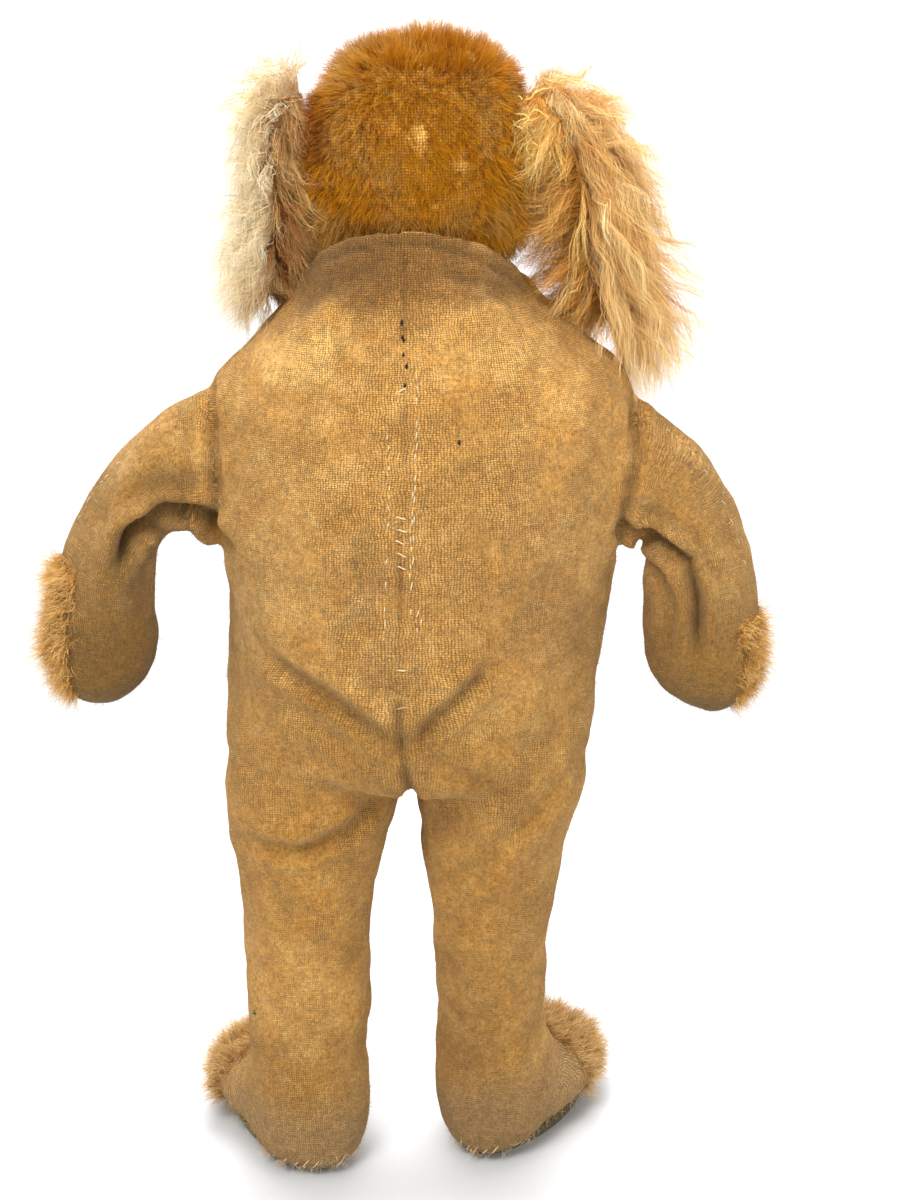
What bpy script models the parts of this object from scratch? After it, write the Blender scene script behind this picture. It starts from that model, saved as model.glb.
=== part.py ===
"""Stuffed toy dog with a disc-jointed neck, sewn-in arms, bending hips and hinged ears.

Metres, +Z up. The toy faces -Y and its left side is +X.
"""
import math

import bmesh
import bpy
from mathutils import Matrix, Vector

# Overall size. The hand-set sections below are for a toy of these nominal sizes.
NOMINAL_HEIGHT = 0.265
NOMINAL_WIDTH = 0.096
NOMINAL_DEPTH = 0.058
TOY_HEIGHT = 0.265
TOY_WIDTH = 0.096
TOY_DEPTH = 0.058

# Cloth, board and hardware
CLOTH = 0.0012
GAP = 0.0003
LEG_GAP = 0.0007
SOLE_CLOTH = 0.0012
SOLE_BOARD = 0.0016
BOARD_INSET = 0.0016
DISC_THICKNESS = 0.0026
DISC_RADIUS = 0.0160
DISC_GAP = 0.0006
WASHER_THICKNESS = 0.0008
WASHER_RADIUS = 0.0060
PIN_RADIUS = 0.0012
PIN_HEAD_RADIUS = 0.0032
PIN_HEAD_THICKNESS = 0.0013
PIN_POCKET_RADIUS = 0.0070

# Joints
NECK_X = -0.0022
HEAD_BASE_Z = 0.2146
HIP_Z = 0.0980
HIP_RADIUS = 0.0195
HIP_CLEARANCE = 0.0008
HIP_SWING = math.radians(60.0)
FOOT_SPLAY_LEFT = math.radians(20.0)
FOOT_SPLAY_RIGHT = math.radians(25.0)

# Collar: low at the front and sides, high at the back
COLLAR_RADIUS = 0.0260
COLLAR_LOW_Z = 0.2130
COLLAR_RISE = 0.0140

# Torso sections, mm: height, centre x, half width, half depth
TORSO = [
    (95.0, 0.6, 36.0, 23.8), (99.0, 0.6, 39.2, 25.6), (106.0, 0.1, 41.2, 26.8),
    (116.0, -0.2, 41.9, 28.0), (126.0, -0.9, 42.2, 29.0), (140.0, -2.2, 43.3, 29.0),
    (155.0, -2.8, 44.7, 28.5), (170.0, -3.2, 46.2, 28.0), (180.0, -3.8, 47.4, 27.0),
    (186.0, -4.0, 48.0, 26.6), (192.5, -3.5, 46.6, 26.0), (199.0, -3.0, 40.3, 25.8),
    (206.0, -2.4, 32.6, 25.9), (211.0, -2.2, 27.2, 26.0),
]

# Leg sections, mm: height, centre x, centre y, half width, half depth
LEG_LEFT = [
    (88.0, 22.4, 0.0, 18.3, 18.8), (79.0, 23.3, -0.2, 16.8, 17.5),
    (66.0, 23.8, -0.5, 15.4, 16.0), (52.0, 23.9, -0.8, 15.0, 15.0),
    (40.0, 23.9, -1.0, 14.9, 14.6),
]
LEG_RIGHT = [
    (88.0, -20.8, -1.0, 18.0, 18.6), (79.0, -20.3, -2.0, 16.7, 17.2),
    (66.0, -20.1, -3.5, 15.0, 15.8), (52.0, -20.0, -5.5, 13.8, 14.8),
    (40.0, -20.3, -7.0, 13.5, 14.3),
]
HIP_LEFT = (21.2, 19.8)
HIP_RIGHT = (-21.0, 19.5)
ANKLE_LEFT = (24.0, -1.5)
ANKLE_RIGHT = (-20.6, -8.5)

# Foot sections, mm, forward is -y: front y and z, back y and z, half width
FOOT = [
    (-14.0, 31.0, 13.2, 27.0, 13.8), (-16.0, 27.0, 15.0, 14.0, 14.4),
    (-19.0, 25.0, 12.6, 3.2, 15.0), (-23.0, 23.5, 3.0, 3.2, 15.8),
]
TOE = [
    (-24.0, 23.2, 1.6, 3.2, 16.0), (-30.0, 21.5, -12.0, 3.2, 16.8),
    (-37.0, 18.5, -27.0, 3.2, 15.6), (-42.0, 14.8, -37.0, 3.2, 12.4),
    (-45.0, 11.0, -43.0, 4.0, 7.6),
]
TOE_TIP = (-46.5, 7.0)
SOLE_FRONT = -0.0450
SOLE_BACK = 0.0120
SOLE_HALF = 0.0158

# Arm sections, mm: top x and z, bottom x and z, half depth
ARM_LEFT = [
    (44.8, 188.6, 43.3, 154.0, 1.6), (48.0, 187.4, 46.2, 155.2, 4.6),
    (53.0, 184.8, 49.8, 156.6, 8.0), (58.5, 180.8, 53.2, 156.0, 10.8),
    (65.0, 174.6, 55.6, 152.6, 12.6), (71.5, 167.0, 56.8, 146.6, 13.0),
    (77.0, 156.6, 57.4, 140.0, 12.8), (79.4, 145.0, 57.4, 134.0, 12.4),
    (80.6, 133.0, 58.4, 128.0, 11.6), (79.2, 124.0, 61.4, 122.6, 10.2),
    (75.8, 119.4, 65.6, 119.2, 7.0),
]
ARM_LEFT_TIP = (70.8, 117.9)
ARM_RIGHT = [
    (-52.8, 187.0, -48.9, 154.6, 1.6), (-55.8, 185.4, -51.4, 155.6, 4.6),
    (-59.6, 182.0, -53.6, 156.0, 8.0), (-63.6, 178.4, -54.8, 154.8, 10.8),
    (-68.0, 172.6, -55.4, 150.6, 12.6), (-72.6, 164.6, -55.4, 144.6, 13.0),
    (-76.8, 154.4, -55.4, 138.0, 12.8), (-79.4, 143.0, -55.8, 132.0, 12.4),
    (-80.2, 131.0, -57.2, 125.6, 11.6), (-78.6, 121.6, -61.0, 119.6, 10.2),
    (-74.8, 116.8, -65.6, 116.2, 7.0),
]
ARM_RIGHT_TIP = (-70.2, 115.0)

# Head sections, mm, from the back forwards: y, centre z, half width, half height
HEAD = [
    (22.6, 238.4, 8.6, 9.0), (18.6, 238.6, 15.4, 16.0), (12.0, 239.0, 21.0, 21.6),
    (4.0, 239.2, 24.0, 24.8), (-4.0, 239.2, 24.3, 24.8), (-12.0, 239.0, 22.4, 22.8),
    (-20.0, 238.0, 18.6, 19.2), (-28.0, 235.0, 14.6, 15.0), (-37.0, 231.4, 12.4, 12.0),
    (-46.0, 229.6, 11.2, 10.4), (-52.5, 229.0, 8.2, 7.6),
]
HEAD_BACK = (24.2, 238.4, 2.2, 2.3)
HEAD_FRONT = (-55.4, 228.8, 2.6, 2.4)

# Ear centre lines from the head outwards and down, mm: x, z, centre y, half depth
EAR_LEFT = [
    (22.6, 253.4, -3.0, 8.0), (26.4, 252.6, -3.5, 10.0), (29.2, 247.4, -4.0, 12.6),
    (30.4, 239.4, -5.0, 14.6), (31.0, 229.6, -6.0, 14.8), (31.0, 219.6, -7.0, 12.0),
    (30.4, 211.0, -8.0, 6.0),
]
EAR_RIGHT = [
    (-26.8, 253.4, -3.0, 8.0), (-31.6, 252.6, -3.5, 10.0), (-37.2, 248.0, -4.5, 12.6),
    (-41.8, 239.0, -6.0, 15.0), (-44.6, 227.6, -8.0, 15.6), (-46.0, 216.0, -10.0, 12.6),
    (-46.4, 205.6, -12.0, 6.0),
]
EAR_COLLAR_GAP = 0.0044
EAR_COLLAR_TOP = 0.2350
EAR_TURN_LEFT = 0.25
EAR_TURN_RIGHT = 0.40
EAR_CLOTH = 0.0014
EAR_LINING = 0.0009

ROUND = 28

KX = TOY_WIDTH / NOMINAL_WIDTH
KY = TOY_DEPTH / NOMINAL_DEPTH
KZ = TOY_HEIGHT / NOMINAL_HEIGHT


def place(x, y, z):
    """Millimetres of the nominal toy to metres of this one."""
    return Vector((x * KX, y * KY, z * KZ)) * 0.001


def material(name, colour, roughness, metallic=0.0):
    made = bpy.data.materials.new(name)
    made.use_nodes = True
    shader = made.node_tree.nodes["Principled BSDF"]
    shader.inputs["Base Color"].default_value = (*colour, 1.0)
    shader.inputs["Roughness"].default_value = roughness
    shader.inputs["Metallic"].default_value = metallic
    return made


def pivot(name, at):
    """An empty on a joint axis."""
    empty = bpy.data.objects.new(name, None)
    empty.location = at
    bpy.context.scene.collection.objects.link(empty)
    return empty


def solid(name, points, faces, parent, colour, roughness, metallic=0.0):
    """One closed body with its origin on its parent's joint axis."""
    mesh = bpy.data.meshes.new(name)
    mesh.from_pydata([p - parent.location for p in points], [], faces)
    work = bmesh.new()
    work.from_mesh(mesh)
    bmesh.ops.recalc_face_normals(work, faces=work.faces)
    bmesh.ops.triangulate(work, faces=[f for f in work.faces if len(f.verts) > 4])
    work.to_mesh(mesh)
    work.free()
    made = bpy.data.objects.new(name, mesh)
    made.parent = parent
    bpy.context.scene.collection.objects.link(made)
    mesh.materials.append(material(name, colour, roughness, metallic))
    return made


def oval(section, inset, count=ROUND, start=0.0, sweep=math.tau):
    """Points round a section (centre, half axis, half axis), moved in by inset."""
    centre, along, across = section
    a = along * (1.0 - inset / along.length)
    b = across * (1.0 - inset / across.length)
    full = abs(sweep - math.tau) < 1e-9
    steps = count if full else count - 1
    angles = [start + sweep * i / steps for i in range(count)]
    return [centre + a * math.cos(t) + b * math.sin(t) for t in angles]


def strip(low, high, wrap):
    """Faces joining two equal rows of point numbers."""
    last = len(low) if wrap else len(low) - 1
    rows = [(i, (i + 1) % len(low)) for i in range(last)]
    return [(low[i], low[j], high[j], high[i]) for i, j in rows]


def rows_of(rings):
    """Flat points and the number rows for a list of rings."""
    points = [p for ring in rings for p in ring]
    rows = []
    total = 0
    for ring in rings:
        rows.append(list(range(total, total + len(ring))))
        total += len(ring)
    return points, rows


def fan(row, tip):
    return [(row[i], row[(i + 1) % len(row)], tip) for i in range(len(row))]


def closed_tube(rings, first_tip=None, last_tip=None):
    """A stuffed shape: rings, each end flat or drawn to a tip."""
    points, rows = rows_of(rings)
    faces = []
    for low, high in zip(rows, rows[1:]):
        faces += strip(low, high, True)
    for row, tip in ((rows[0], first_tip), (rows[-1], last_tip)):
        if tip is None:
            faces.append(tuple(row))
        else:
            points.append(tip)
            faces += fan(row, len(points) - 1)
    return points, faces


def sock(outer, inner, outer_tip=None, inner_tip=None):
    """A cloth cover open at its first ring, and at its last when it has no tip."""
    points, rows = rows_of(outer + inner)
    out_rows = rows[:len(outer)]
    in_rows = rows[len(outer):]
    faces = []
    for low, high in zip(out_rows, out_rows[1:]):
        faces += strip(low, high, True)
    for low, high in zip(in_rows, in_rows[1:]):
        faces += strip(low, high, True)
    faces += strip(out_rows[0], in_rows[0], True)
    if outer_tip is None:
        faces += strip(out_rows[-1], in_rows[-1], True)
        return points, faces
    points += [outer_tip, inner_tip]
    faces += fan(out_rows[-1], len(points) - 2)
    faces += fan(in_rows[-1], len(points) - 1)
    return points, faces


def panel(outer, inner):
    """A curved cloth panel between two equal grids of points."""
    points, rows = rows_of(outer + inner)
    out_rows = rows[:len(outer)]
    in_rows = rows[len(outer):]
    faces = []
    for low, high in zip(out_rows, out_rows[1:]):
        faces += strip(low, high, False)
    for low, high in zip(in_rows, in_rows[1:]):
        faces += strip(low, high, False)
    faces += strip(out_rows[0], in_rows[0], False)
    faces += strip(out_rows[-1], in_rows[-1], False)
    for side in (0, -1):
        edge_out = [row[side] for row in out_rows]
        edge_in = [row[side] for row in in_rows]
        faces += strip(edge_out, edge_in, False)
    return points, faces


def lathe(profile, centre, count=ROUND):
    """A ring or disc turned about a vertical axis from a closed profile of (r, z)."""
    points = []
    faces = []
    size = len(profile)
    for i in range(count):
        turn = math.tau * i / count
        arm = Vector((math.cos(turn), math.sin(turn), 0.0))
        points += [centre + arm * r + Vector((0.0, 0.0, z)) for r, z in profile]
    for i in range(count):
        a = i * size
        b = ((i + 1) % count) * size
        for k in range(size):
            n = (k + 1) % size
            faces.append((a + k, a + n, b + n, b + k))
    return points, faces


def cut(target, cutter):
    """Cut one object out of another, exactly."""
    step = target.modifiers.new("cut_" + cutter.name, "BOOLEAN")
    step.operation = "DIFFERENCE"
    step.solver = "EXACT"
    step.object = cutter


def cutter_object(name, points, faces):
    mesh = bpy.data.meshes.new(name)
    mesh.from_pydata(points, [], faces)
    work = bmesh.new()
    work.from_mesh(mesh)
    bmesh.ops.recalc_face_normals(work, faces=work.faces)
    work.to_mesh(mesh)
    work.free()
    made = bpy.data.objects.new(name, mesh)
    made.hide_render = True
    made.display_type = "WIRE"
    bpy.context.scene.collection.objects.link(made)
    return made


def hip_cutter():
    """The room the thighs sweep as they fold forwards, as a bar along x."""
    radius = HIP_RADIUS + HIP_CLEARANCE
    centre = HIP_Z * KZ
    outline = [(radius, centre - 0.04)]
    turns = 16
    end = math.pi - HIP_SWING
    for i in range(turns + 1):
        turn = end * i / turns
        outline.append((radius * math.cos(turn), centre + radius * math.sin(turn)))
    reach = 0.060
    last_y, last_z = outline[-1]
    outline.append((last_y - reach * math.sin(HIP_SWING), last_z - reach * math.cos(HIP_SWING)))
    outline.append((outline[-1][0], centre - 0.04))
    near = [Vector((-0.09 * KX, y, z)) for y, z in outline]
    far = [Vector((0.09 * KX, y, z)) for y, z in outline]
    count = len(outline)
    faces = strip(list(range(count)), list(range(count, 2 * count)), True)
    faces += [tuple(range(count)), tuple(range(count, 2 * count))]
    return cutter_object("hip_room", near + far, faces)


def pin_pocket(low, high):
    radius = PIN_POCKET_RADIUS
    rings = []
    for z in (low, high):
        section = (Vector((NECK_X * KX, 0, z)), Vector((radius, 0, 0)), Vector((0, radius, 0)))
        rings.append(oval(section, 0.0, 20))
    points, faces = closed_tube(rings)
    return cutter_object("pin_pocket", points, faces)


def torso_section(row):
    z, x, half_x, half_y = row
    return (place(x, 0.0, z), Vector((half_x * KX * 0.001, 0.0, 0.0)),
            Vector((0.0, half_y * KY * 0.001, 0.0)))


def torso_grid(inset, start, sweep, count):
    """Rows round part of the torso, the last one along the collar's edge."""
    grid = [oval(torso_section(row), inset, count, start, sweep) for row in TORSO]
    radius = COLLAR_RADIUS
    for share in (0.0, 0.5, 1.0):
        ring = []
        for i in range(count):
            turn = start + sweep * i / (count - 1)
            rise = COLLAR_RISE * max(0.0, math.sin(turn)) ** 0.8
            z = (COLLAR_LOW_Z + share * rise) * KZ
            x = NECK_X * KX + (radius * KX - inset) * math.cos(turn)
            y = (radius * KY - inset) * math.sin(turn)
            ring.append(Vector((x, y, z + share * 0.0004)))
        grid.append(ring)
    return grid


def build_torso(root):
    room = hip_cutter()
    seam = GAP / (0.028 * KY)
    closing = 0.0007 / (0.046 * KX)
    quarter = math.pi / 2.0
    spans = [
        ("torso_back_left", seam, quarter - seam - closing, 11),
        ("torso_back_right", quarter + closing, quarter - seam - closing, 11),
        ("torso_front", math.pi + seam, math.pi - 2.0 * seam, 21),
    ]
    for name, start, sweep, count in spans:
        points, faces = panel(torso_grid(0.0, start, sweep, count),
                              torso_grid(CLOTH, start, sweep, count))
        made = solid(name, points, faces, root, (0.56, 0.31, 0.12), 0.95)
        cut(made, room)
    inset = CLOTH + GAP
    rings = [oval(torso_section(row), inset) for row in TORSO[:-1]]
    points, faces = closed_tube(rings)
    filling = solid("torso_stuffing", points, faces, root, (0.55, 0.47, 0.34), 0.98)
    cut(filling, room)
    cut(filling, pin_pocket(0.2005 * KZ, 0.2200 * KZ))
    return room


def build_closing_thread(root):
    """Hand stitching that closes the slit in the middle of the back."""
    outer = []
    inner = []
    rows = [row for row in TORSO if 110.0 < row[0] < 200.0]
    half = 0.0003
    for row in rows:
        z = row[0] * 0.001 * KZ
        x = row[1] * 0.001 * KX
        y = row[3] * 0.001 * KY
        outer.append([Vector((x - half, y + 0.0003, z)), Vector((x + half, y + 0.0003, z))])
        inner.append([Vector((x - half, y - 0.0007, z)), Vector((x + half, y - 0.0007, z))])
    points, faces = panel(outer, inner)
    solid("closing_thread", points, faces, root, (0.80, 0.72, 0.55), 0.8)


def build_neck(root, head):
    """Board discs and washers on a cotter pin, from the stuffing up."""
    axis = Vector((NECK_X * KX, 0.0, 0.0))
    hole = PIN_RADIUS + GAP
    top = HEAD_BASE_Z * KZ - GAP
    heights = []
    for parts in (WASHER_THICKNESS, DISC_THICKNESS):
        heights.append((top - parts, top))
        top -= parts + GAP
    top -= DISC_GAP - GAP
    for parts in (DISC_THICKNESS, WASHER_THICKNESS):
        heights.append((top - parts, top))
        top -= parts + GAP
    names = [
        ("neck_washer_upper", head, WASHER_RADIUS, (0.62, 0.60, 0.58), 0.4, 1.0),
        ("neck_disc_upper", head, DISC_RADIUS, (0.42, 0.31, 0.19), 0.9, 0.0),
        ("neck_disc_lower", root, DISC_RADIUS, (0.42, 0.31, 0.19), 0.9, 0.0),
        ("neck_washer_lower", root, WASHER_RADIUS, (0.62, 0.60, 0.58), 0.4, 1.0),
    ]
    for (name, parent, radius, colour, rough, metal), (low, high) in zip(names, heights):
        profile = [(hole, low), (radius, low), (radius, high), (hole, high)]
        points, faces = lathe(profile, axis)
        solid(name, points, faces, parent, colour, rough, metal)
    low = heights[-1][0] - GAP
    high = HEAD_BASE_Z * KZ
    rings = []
    for radius, z in (
        (PIN_HEAD_RADIUS, low - PIN_HEAD_THICKNESS), (PIN_HEAD_RADIUS, low),
        (PIN_RADIUS, low), (PIN_RADIUS, high), (PIN_HEAD_RADIUS, high),
        (PIN_HEAD_RADIUS, high + PIN_HEAD_THICKNESS),
    ):
        section = (axis + Vector((0, 0, z)), Vector((radius, 0, 0)), Vector((0, radius, 0)))
        rings.append(oval(section, 0.0, 16))
    points, faces = closed_tube(rings)
    solid("neck_pin", points, faces, root, (0.62, 0.60, 0.58), 0.4, 1.0)


def head_section(row):
    y, z, half_x, half_z = row
    return (place(NECK_X * 1000.0, y, z), Vector((0.0, 0.0, half_z * KZ * 0.001)),
            Vector((half_x * KX * 0.001, 0.0, 0.0)))


def above_base(ring):
    """Flatten a ring against the underside of the head."""
    low = HEAD_BASE_Z * KZ
    return [Vector((p.x, p.y, max(p.z, low))) for p in ring]


def build_head(head):
    seam = GAP / 0.024
    pocket = pin_pocket((HEAD_BASE_Z - 0.004) * KZ, HEAD_BASE_Z * KZ + 0.0022)
    for name, start in (("head_cover_left", seam), ("head_cover_right", math.pi + seam)):
        sweep = math.pi - 2.0 * seam
        rows = [HEAD_BACK] + HEAD + [HEAD_FRONT]
        outer = [oval(head_section(r), 0.0, 15, start, sweep) for r in rows]
        inner = [oval(head_section(r), CLOTH, 15, start, sweep) for r in rows]
        points, faces = panel(outer, inner)
        cut(solid(name, points, faces, head, (0.60, 0.30, 0.07), 0.95), pocket)
    rings = [above_base(oval(head_section(r), CLOTH + GAP)) for r in HEAD]
    back = place(NECK_X * 1000.0, HEAD_BACK[0] - 1.4, HEAD_BACK[1])
    front = place(NECK_X * 1000.0, HEAD_FRONT[0] + 2.6, HEAD_FRONT[1])
    points, faces = closed_tube(rings, back, front)
    filling = solid("head_stuffing", points, faces, head, (0.55, 0.47, 0.34), 0.98)
    cut(filling, pocket)
    build_face(head)


def ball(centre, axis, radius, depth, count=16, levels=4):
    """A button-like half round, flat at the back, facing along axis."""
    side = axis.cross(Vector((0.0, 0.0, 1.0))).normalized()
    lift = side.cross(axis).normalized()
    rings = []
    for i in range(levels):
        turn = 0.5 * math.pi * i / levels
        spread = radius * math.cos(turn)
        middle = centre + axis * depth * math.sin(turn)
        rings.append(oval((middle, side * spread, lift * spread), 0.0, count))
    return closed_tube(rings, None, centre + axis * depth)


def build_face(head):
    middle = NECK_X * 1000.0
    for name, side in (("eye_left", 1.0), ("eye_right", -1.0)):
        axis = Vector((side * 0.757, -0.454, 0.469)).normalized()
        at = place(middle + side * 14.2, -23.5, 246.0) + axis * 0.0011
        points, faces = ball(at, axis, 0.0034, 0.0030)
        solid(name, points, faces, head, (0.020, 0.010, 0.005), 0.08)
    points, faces = ball(place(middle, -56.2, 230.4), Vector((0.0, -1.0, 0.0)), 0.0052, 0.0044)
    solid("nose", points, faces, head, (0.020, 0.014, 0.012), 0.55)


def clear_of_collar(x, z, outward):
    """The ear's own place, or further out where the collar is wider than that."""
    if z > EAR_COLLAR_TOP * 1000.0:
        return x
    return outward * max(outward * x, (COLLAR_RADIUS + EAR_COLLAR_GAP) * 1000.0)


def ear_grid(line, shift):
    """Rows across the ear, moved off the centre line by shift."""
    outward = 1.0 if line[-1][0] > 0.0 else -1.0
    line = [(clear_of_collar(x, z, outward), z, y, half) for x, z, y, half in line]
    spots = [place(x, 0.0, z) for x, z, _, _ in line]
    turn = EAR_TURN_LEFT if outward > 0.0 else EAR_TURN_RIGHT
    grid = []
    for i, (x, z, y, half) in enumerate(line):
        ahead = spots[min(i + 1, len(spots) - 1)] - spots[max(i - 1, 0)]
        face = Vector((-ahead.z * outward, 0.0, ahead.x * outward)).normalized()
        across = [half * (k / 4.0 - 1.0) for k in range(9)]
        bend = [0.0016 * (1.0 - (k / 4.0 - 1.0) ** 2) for k in range(9)]
        lean = turn * outward * i / (len(line) - 1.0)
        grid.append([place(x - lean * s, y + s, z) + face * (shift + b)
                     for s, b in zip(across, bend)])
    return grid


def build_ear(line, side, parent):
    cloth = (0.66, 0.42, 0.17)
    points, faces = panel(ear_grid(line, EAR_CLOTH), ear_grid(line, 0.0))
    solid("ear_" + side + "_outer", points, faces, parent, cloth, 0.95)
    points, faces = panel(ear_grid(line, -GAP), ear_grid(line, -GAP - EAR_LINING))
    solid("ear_" + side + "_lining", points, faces, parent, (0.60, 0.36, 0.13), 0.95)


def arm_section(row):
    top_x, top_z, low_x, low_z, half = row
    top = place(top_x, 0.0, top_z)
    low = place(low_x, 0.0, low_z)
    return ((top + low) / 2.0, (top - low) / 2.0, Vector((0.0, half * KY * 0.001, 0.0)))


def build_arm(rows, tip, side, parent):
    sections = [arm_section(r) for r in rows]
    last = sections[-1][0]
    end = place(tip[0], 0.0, tip[1])
    toward = (last - end).normalized()
    outer = [oval(s, 0.0, 20) for s in sections]
    inner = [oval(s, min(CLOTH, 0.0008 + 0.0004 * i), 20) for i, s in enumerate(sections)]
    points, faces = sock(outer, inner, end, end + toward * CLOTH)
    solid("arm_" + side + "_cover", points, faces, parent, (0.56, 0.31, 0.12), 0.95)
    rings = [oval(s, CLOTH + GAP, 20) for s in sections[1:]]
    points, faces = closed_tube(rings, None, end + toward * (CLOTH + GAP * 2.0))
    solid("arm_" + side + "_stuffing", points, faces, parent, (0.55, 0.47, 0.34), 0.98)
    span = math.radians(100.0)
    backs = sections[6:10]
    outer = [oval(s, -(GAP + 0.0022), 9, -span / 2.0, span) for s in backs]
    inner = [oval(s, -GAP, 9, -span / 2.0, span) for s in backs]
    points, faces = panel(outer, inner)
    solid("hand_" + side + "_back", points, faces, parent, (0.60, 0.42, 0.22), 0.95)


def foot_turn(ankle, splay, side):
    """From the foot's own frame, toes along -y, to the toy's."""
    turn = Matrix.Rotation(splay * (1.0 if side == "left" else -1.0), 4, "Z")
    return Matrix.Translation(place(ankle[0], ankle[1], 0.0)) @ turn


def foot_section(row, frame):
    top_y, top_z, low_y, low_z, half = row
    top = frame @ place(0.0, top_y, top_z)
    low = frame @ place(0.0, low_y, low_z)
    across = frame.to_3x3() @ Vector((half * KX * 0.001, 0.0, 0.0))
    return ((top + low) / 2.0, across, (low - top) / 2.0)


def leg_sections(hip, rows, frame):
    """Rings from the rounded top of the thigh down to the middle of the foot."""
    found = []
    hip_x, hip_half = hip
    radius = HIP_RADIUS
    for share in (0.96, 0.84, 0.62, 0.34, 0.0):
        shrink = math.sqrt(1.0 - share * share)
        centre = place(hip_x, 0.0, 0.0)
        centre.z = HIP_Z * KZ + radius * share
        found.append((centre, Vector((hip_half * KX * 0.001 * shrink, 0.0, 0.0)),
                      Vector((0.0, radius * shrink, 0.0))))
    for z, x, y, half_x, half_y in rows:
        found.append((place(x, y, z), Vector((half_x * KX * 0.001, 0.0, 0.0)),
                      Vector((0.0, min(half_y * KY * 0.001, radius * 0.97), 0.0))))
    return found + [foot_section(r, frame) for r in FOOT]


def sole_outline(frame, inset):
    """A foot-shaped outline, wider across the toes."""
    front = SOLE_FRONT * KY + inset
    back = SOLE_BACK * KY - inset
    half = SOLE_HALF * KX - inset
    middle = (front + back) / 2.0
    reach = (back - front) / 2.0
    points = []
    for i in range(ROUND):
        turn = math.tau * i / ROUND
        forward = -math.cos(turn)
        width = half * (0.90 - 0.10 * forward)
        points.append(frame @ Vector((width * math.sin(turn), middle + reach * forward, 0.0)))
    return points


def leg_rings(sections, inset):
    """The leg's rings moved in by inset, under the dome of the thigh as well."""
    rings = []
    for section in reversed(sections):
        share = max(0.0, (section[0].z - HIP_Z * KZ) / HIP_RADIUS)
        drop = Vector((0.0, 0.0, inset * share))
        rings.append([p - drop for p in oval(section, inset, 24)])
    return rings


def build_leg(side, hip, rows, ankle, splay, parent):
    frame = foot_turn(ankle, splay, side)
    sections = leg_sections(hip, rows, frame)
    crown = place(hip[0], 0.0, 0.0)
    crown.z = HIP_Z * KZ + HIP_RADIUS
    outer = leg_rings(sections, 0.0)
    inner = leg_rings(sections, CLOTH)
    points, faces = sock(outer, inner, crown, crown - Vector((0, 0, CLOTH)))
    solid("leg_" + side + "_cover", points, faces, parent, (0.56, 0.31, 0.12), 0.95)
    inset = CLOTH + LEG_GAP
    inside = leg_rings(sections, inset)
    points, faces = closed_tube(inside, None, crown - Vector((0, 0, inset)))
    solid("leg_" + side + "_stuffing", points, faces, parent, (0.55, 0.47, 0.34), 0.98)
    toes = [foot_section(r, frame) for r in TOE]
    forward = (toes[1][0] - toes[0][0]).normalized() * 0.0012
    toes = [(c + forward, a, b) for c, a, b in toes]
    tip = frame @ place(0.0, TOE_TIP[0], TOE_TIP[1])
    outer = [oval(s, 0.0, 24) for s in toes]
    inner = [oval(s, CLOTH, 24) for s in toes]
    back = (toes[0][0] - tip).normalized()
    points, faces = sock(outer, inner, tip + forward, tip + forward + back * CLOTH)
    solid("foot_" + side + "_top", points, faces, parent, (0.60, 0.42, 0.22), 0.95)
    inside = [oval(s, inset, 24) for s in toes]
    points, faces = closed_tube(inside, None, tip + forward + back * inset * 1.4)
    solid("foot_" + side + "_stuffing", points, faces, parent, (0.55, 0.47, 0.34), 0.98)
    layers = [
        ("_sole", 0.0, SOLE_CLOTH, 0.0, (0.34, 0.25, 0.16), 0.95),
        ("_board", SOLE_CLOTH + GAP, SOLE_CLOTH + GAP + SOLE_BOARD - 0.0002, BOARD_INSET,
         (0.42, 0.31, 0.19), 0.9),
    ]
    for tail, low, high, inset, colour, rough in layers:
        outline = sole_outline(frame, inset)
        rings = [[p + Vector((0, 0, z)) for p in outline] for z in (low, high)]
        points, faces = closed_tube(rings)
        solid("foot_" + side + tail, points, faces, parent, colour, rough)


def centre_over_origin(pivots, helpers):
    """Put the middle of the whole toy over the origin, with its soles on the floor."""
    bpy.context.view_layer.update()
    xs = []
    ys = []
    for made in bpy.data.objects:
        if made.type == "MESH" and made not in helpers:
            spots = [made.matrix_world @ v.co for v in made.data.vertices]
            xs += [p.x for p in spots]
            ys += [p.y for p in spots]
    shift = Vector((-(max(xs) + min(xs)) / 2.0, -(max(ys) + min(ys)) / 2.0, 0.0))
    for thing in list(pivots) + list(helpers):
        thing.location += shift
    return shift


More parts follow.
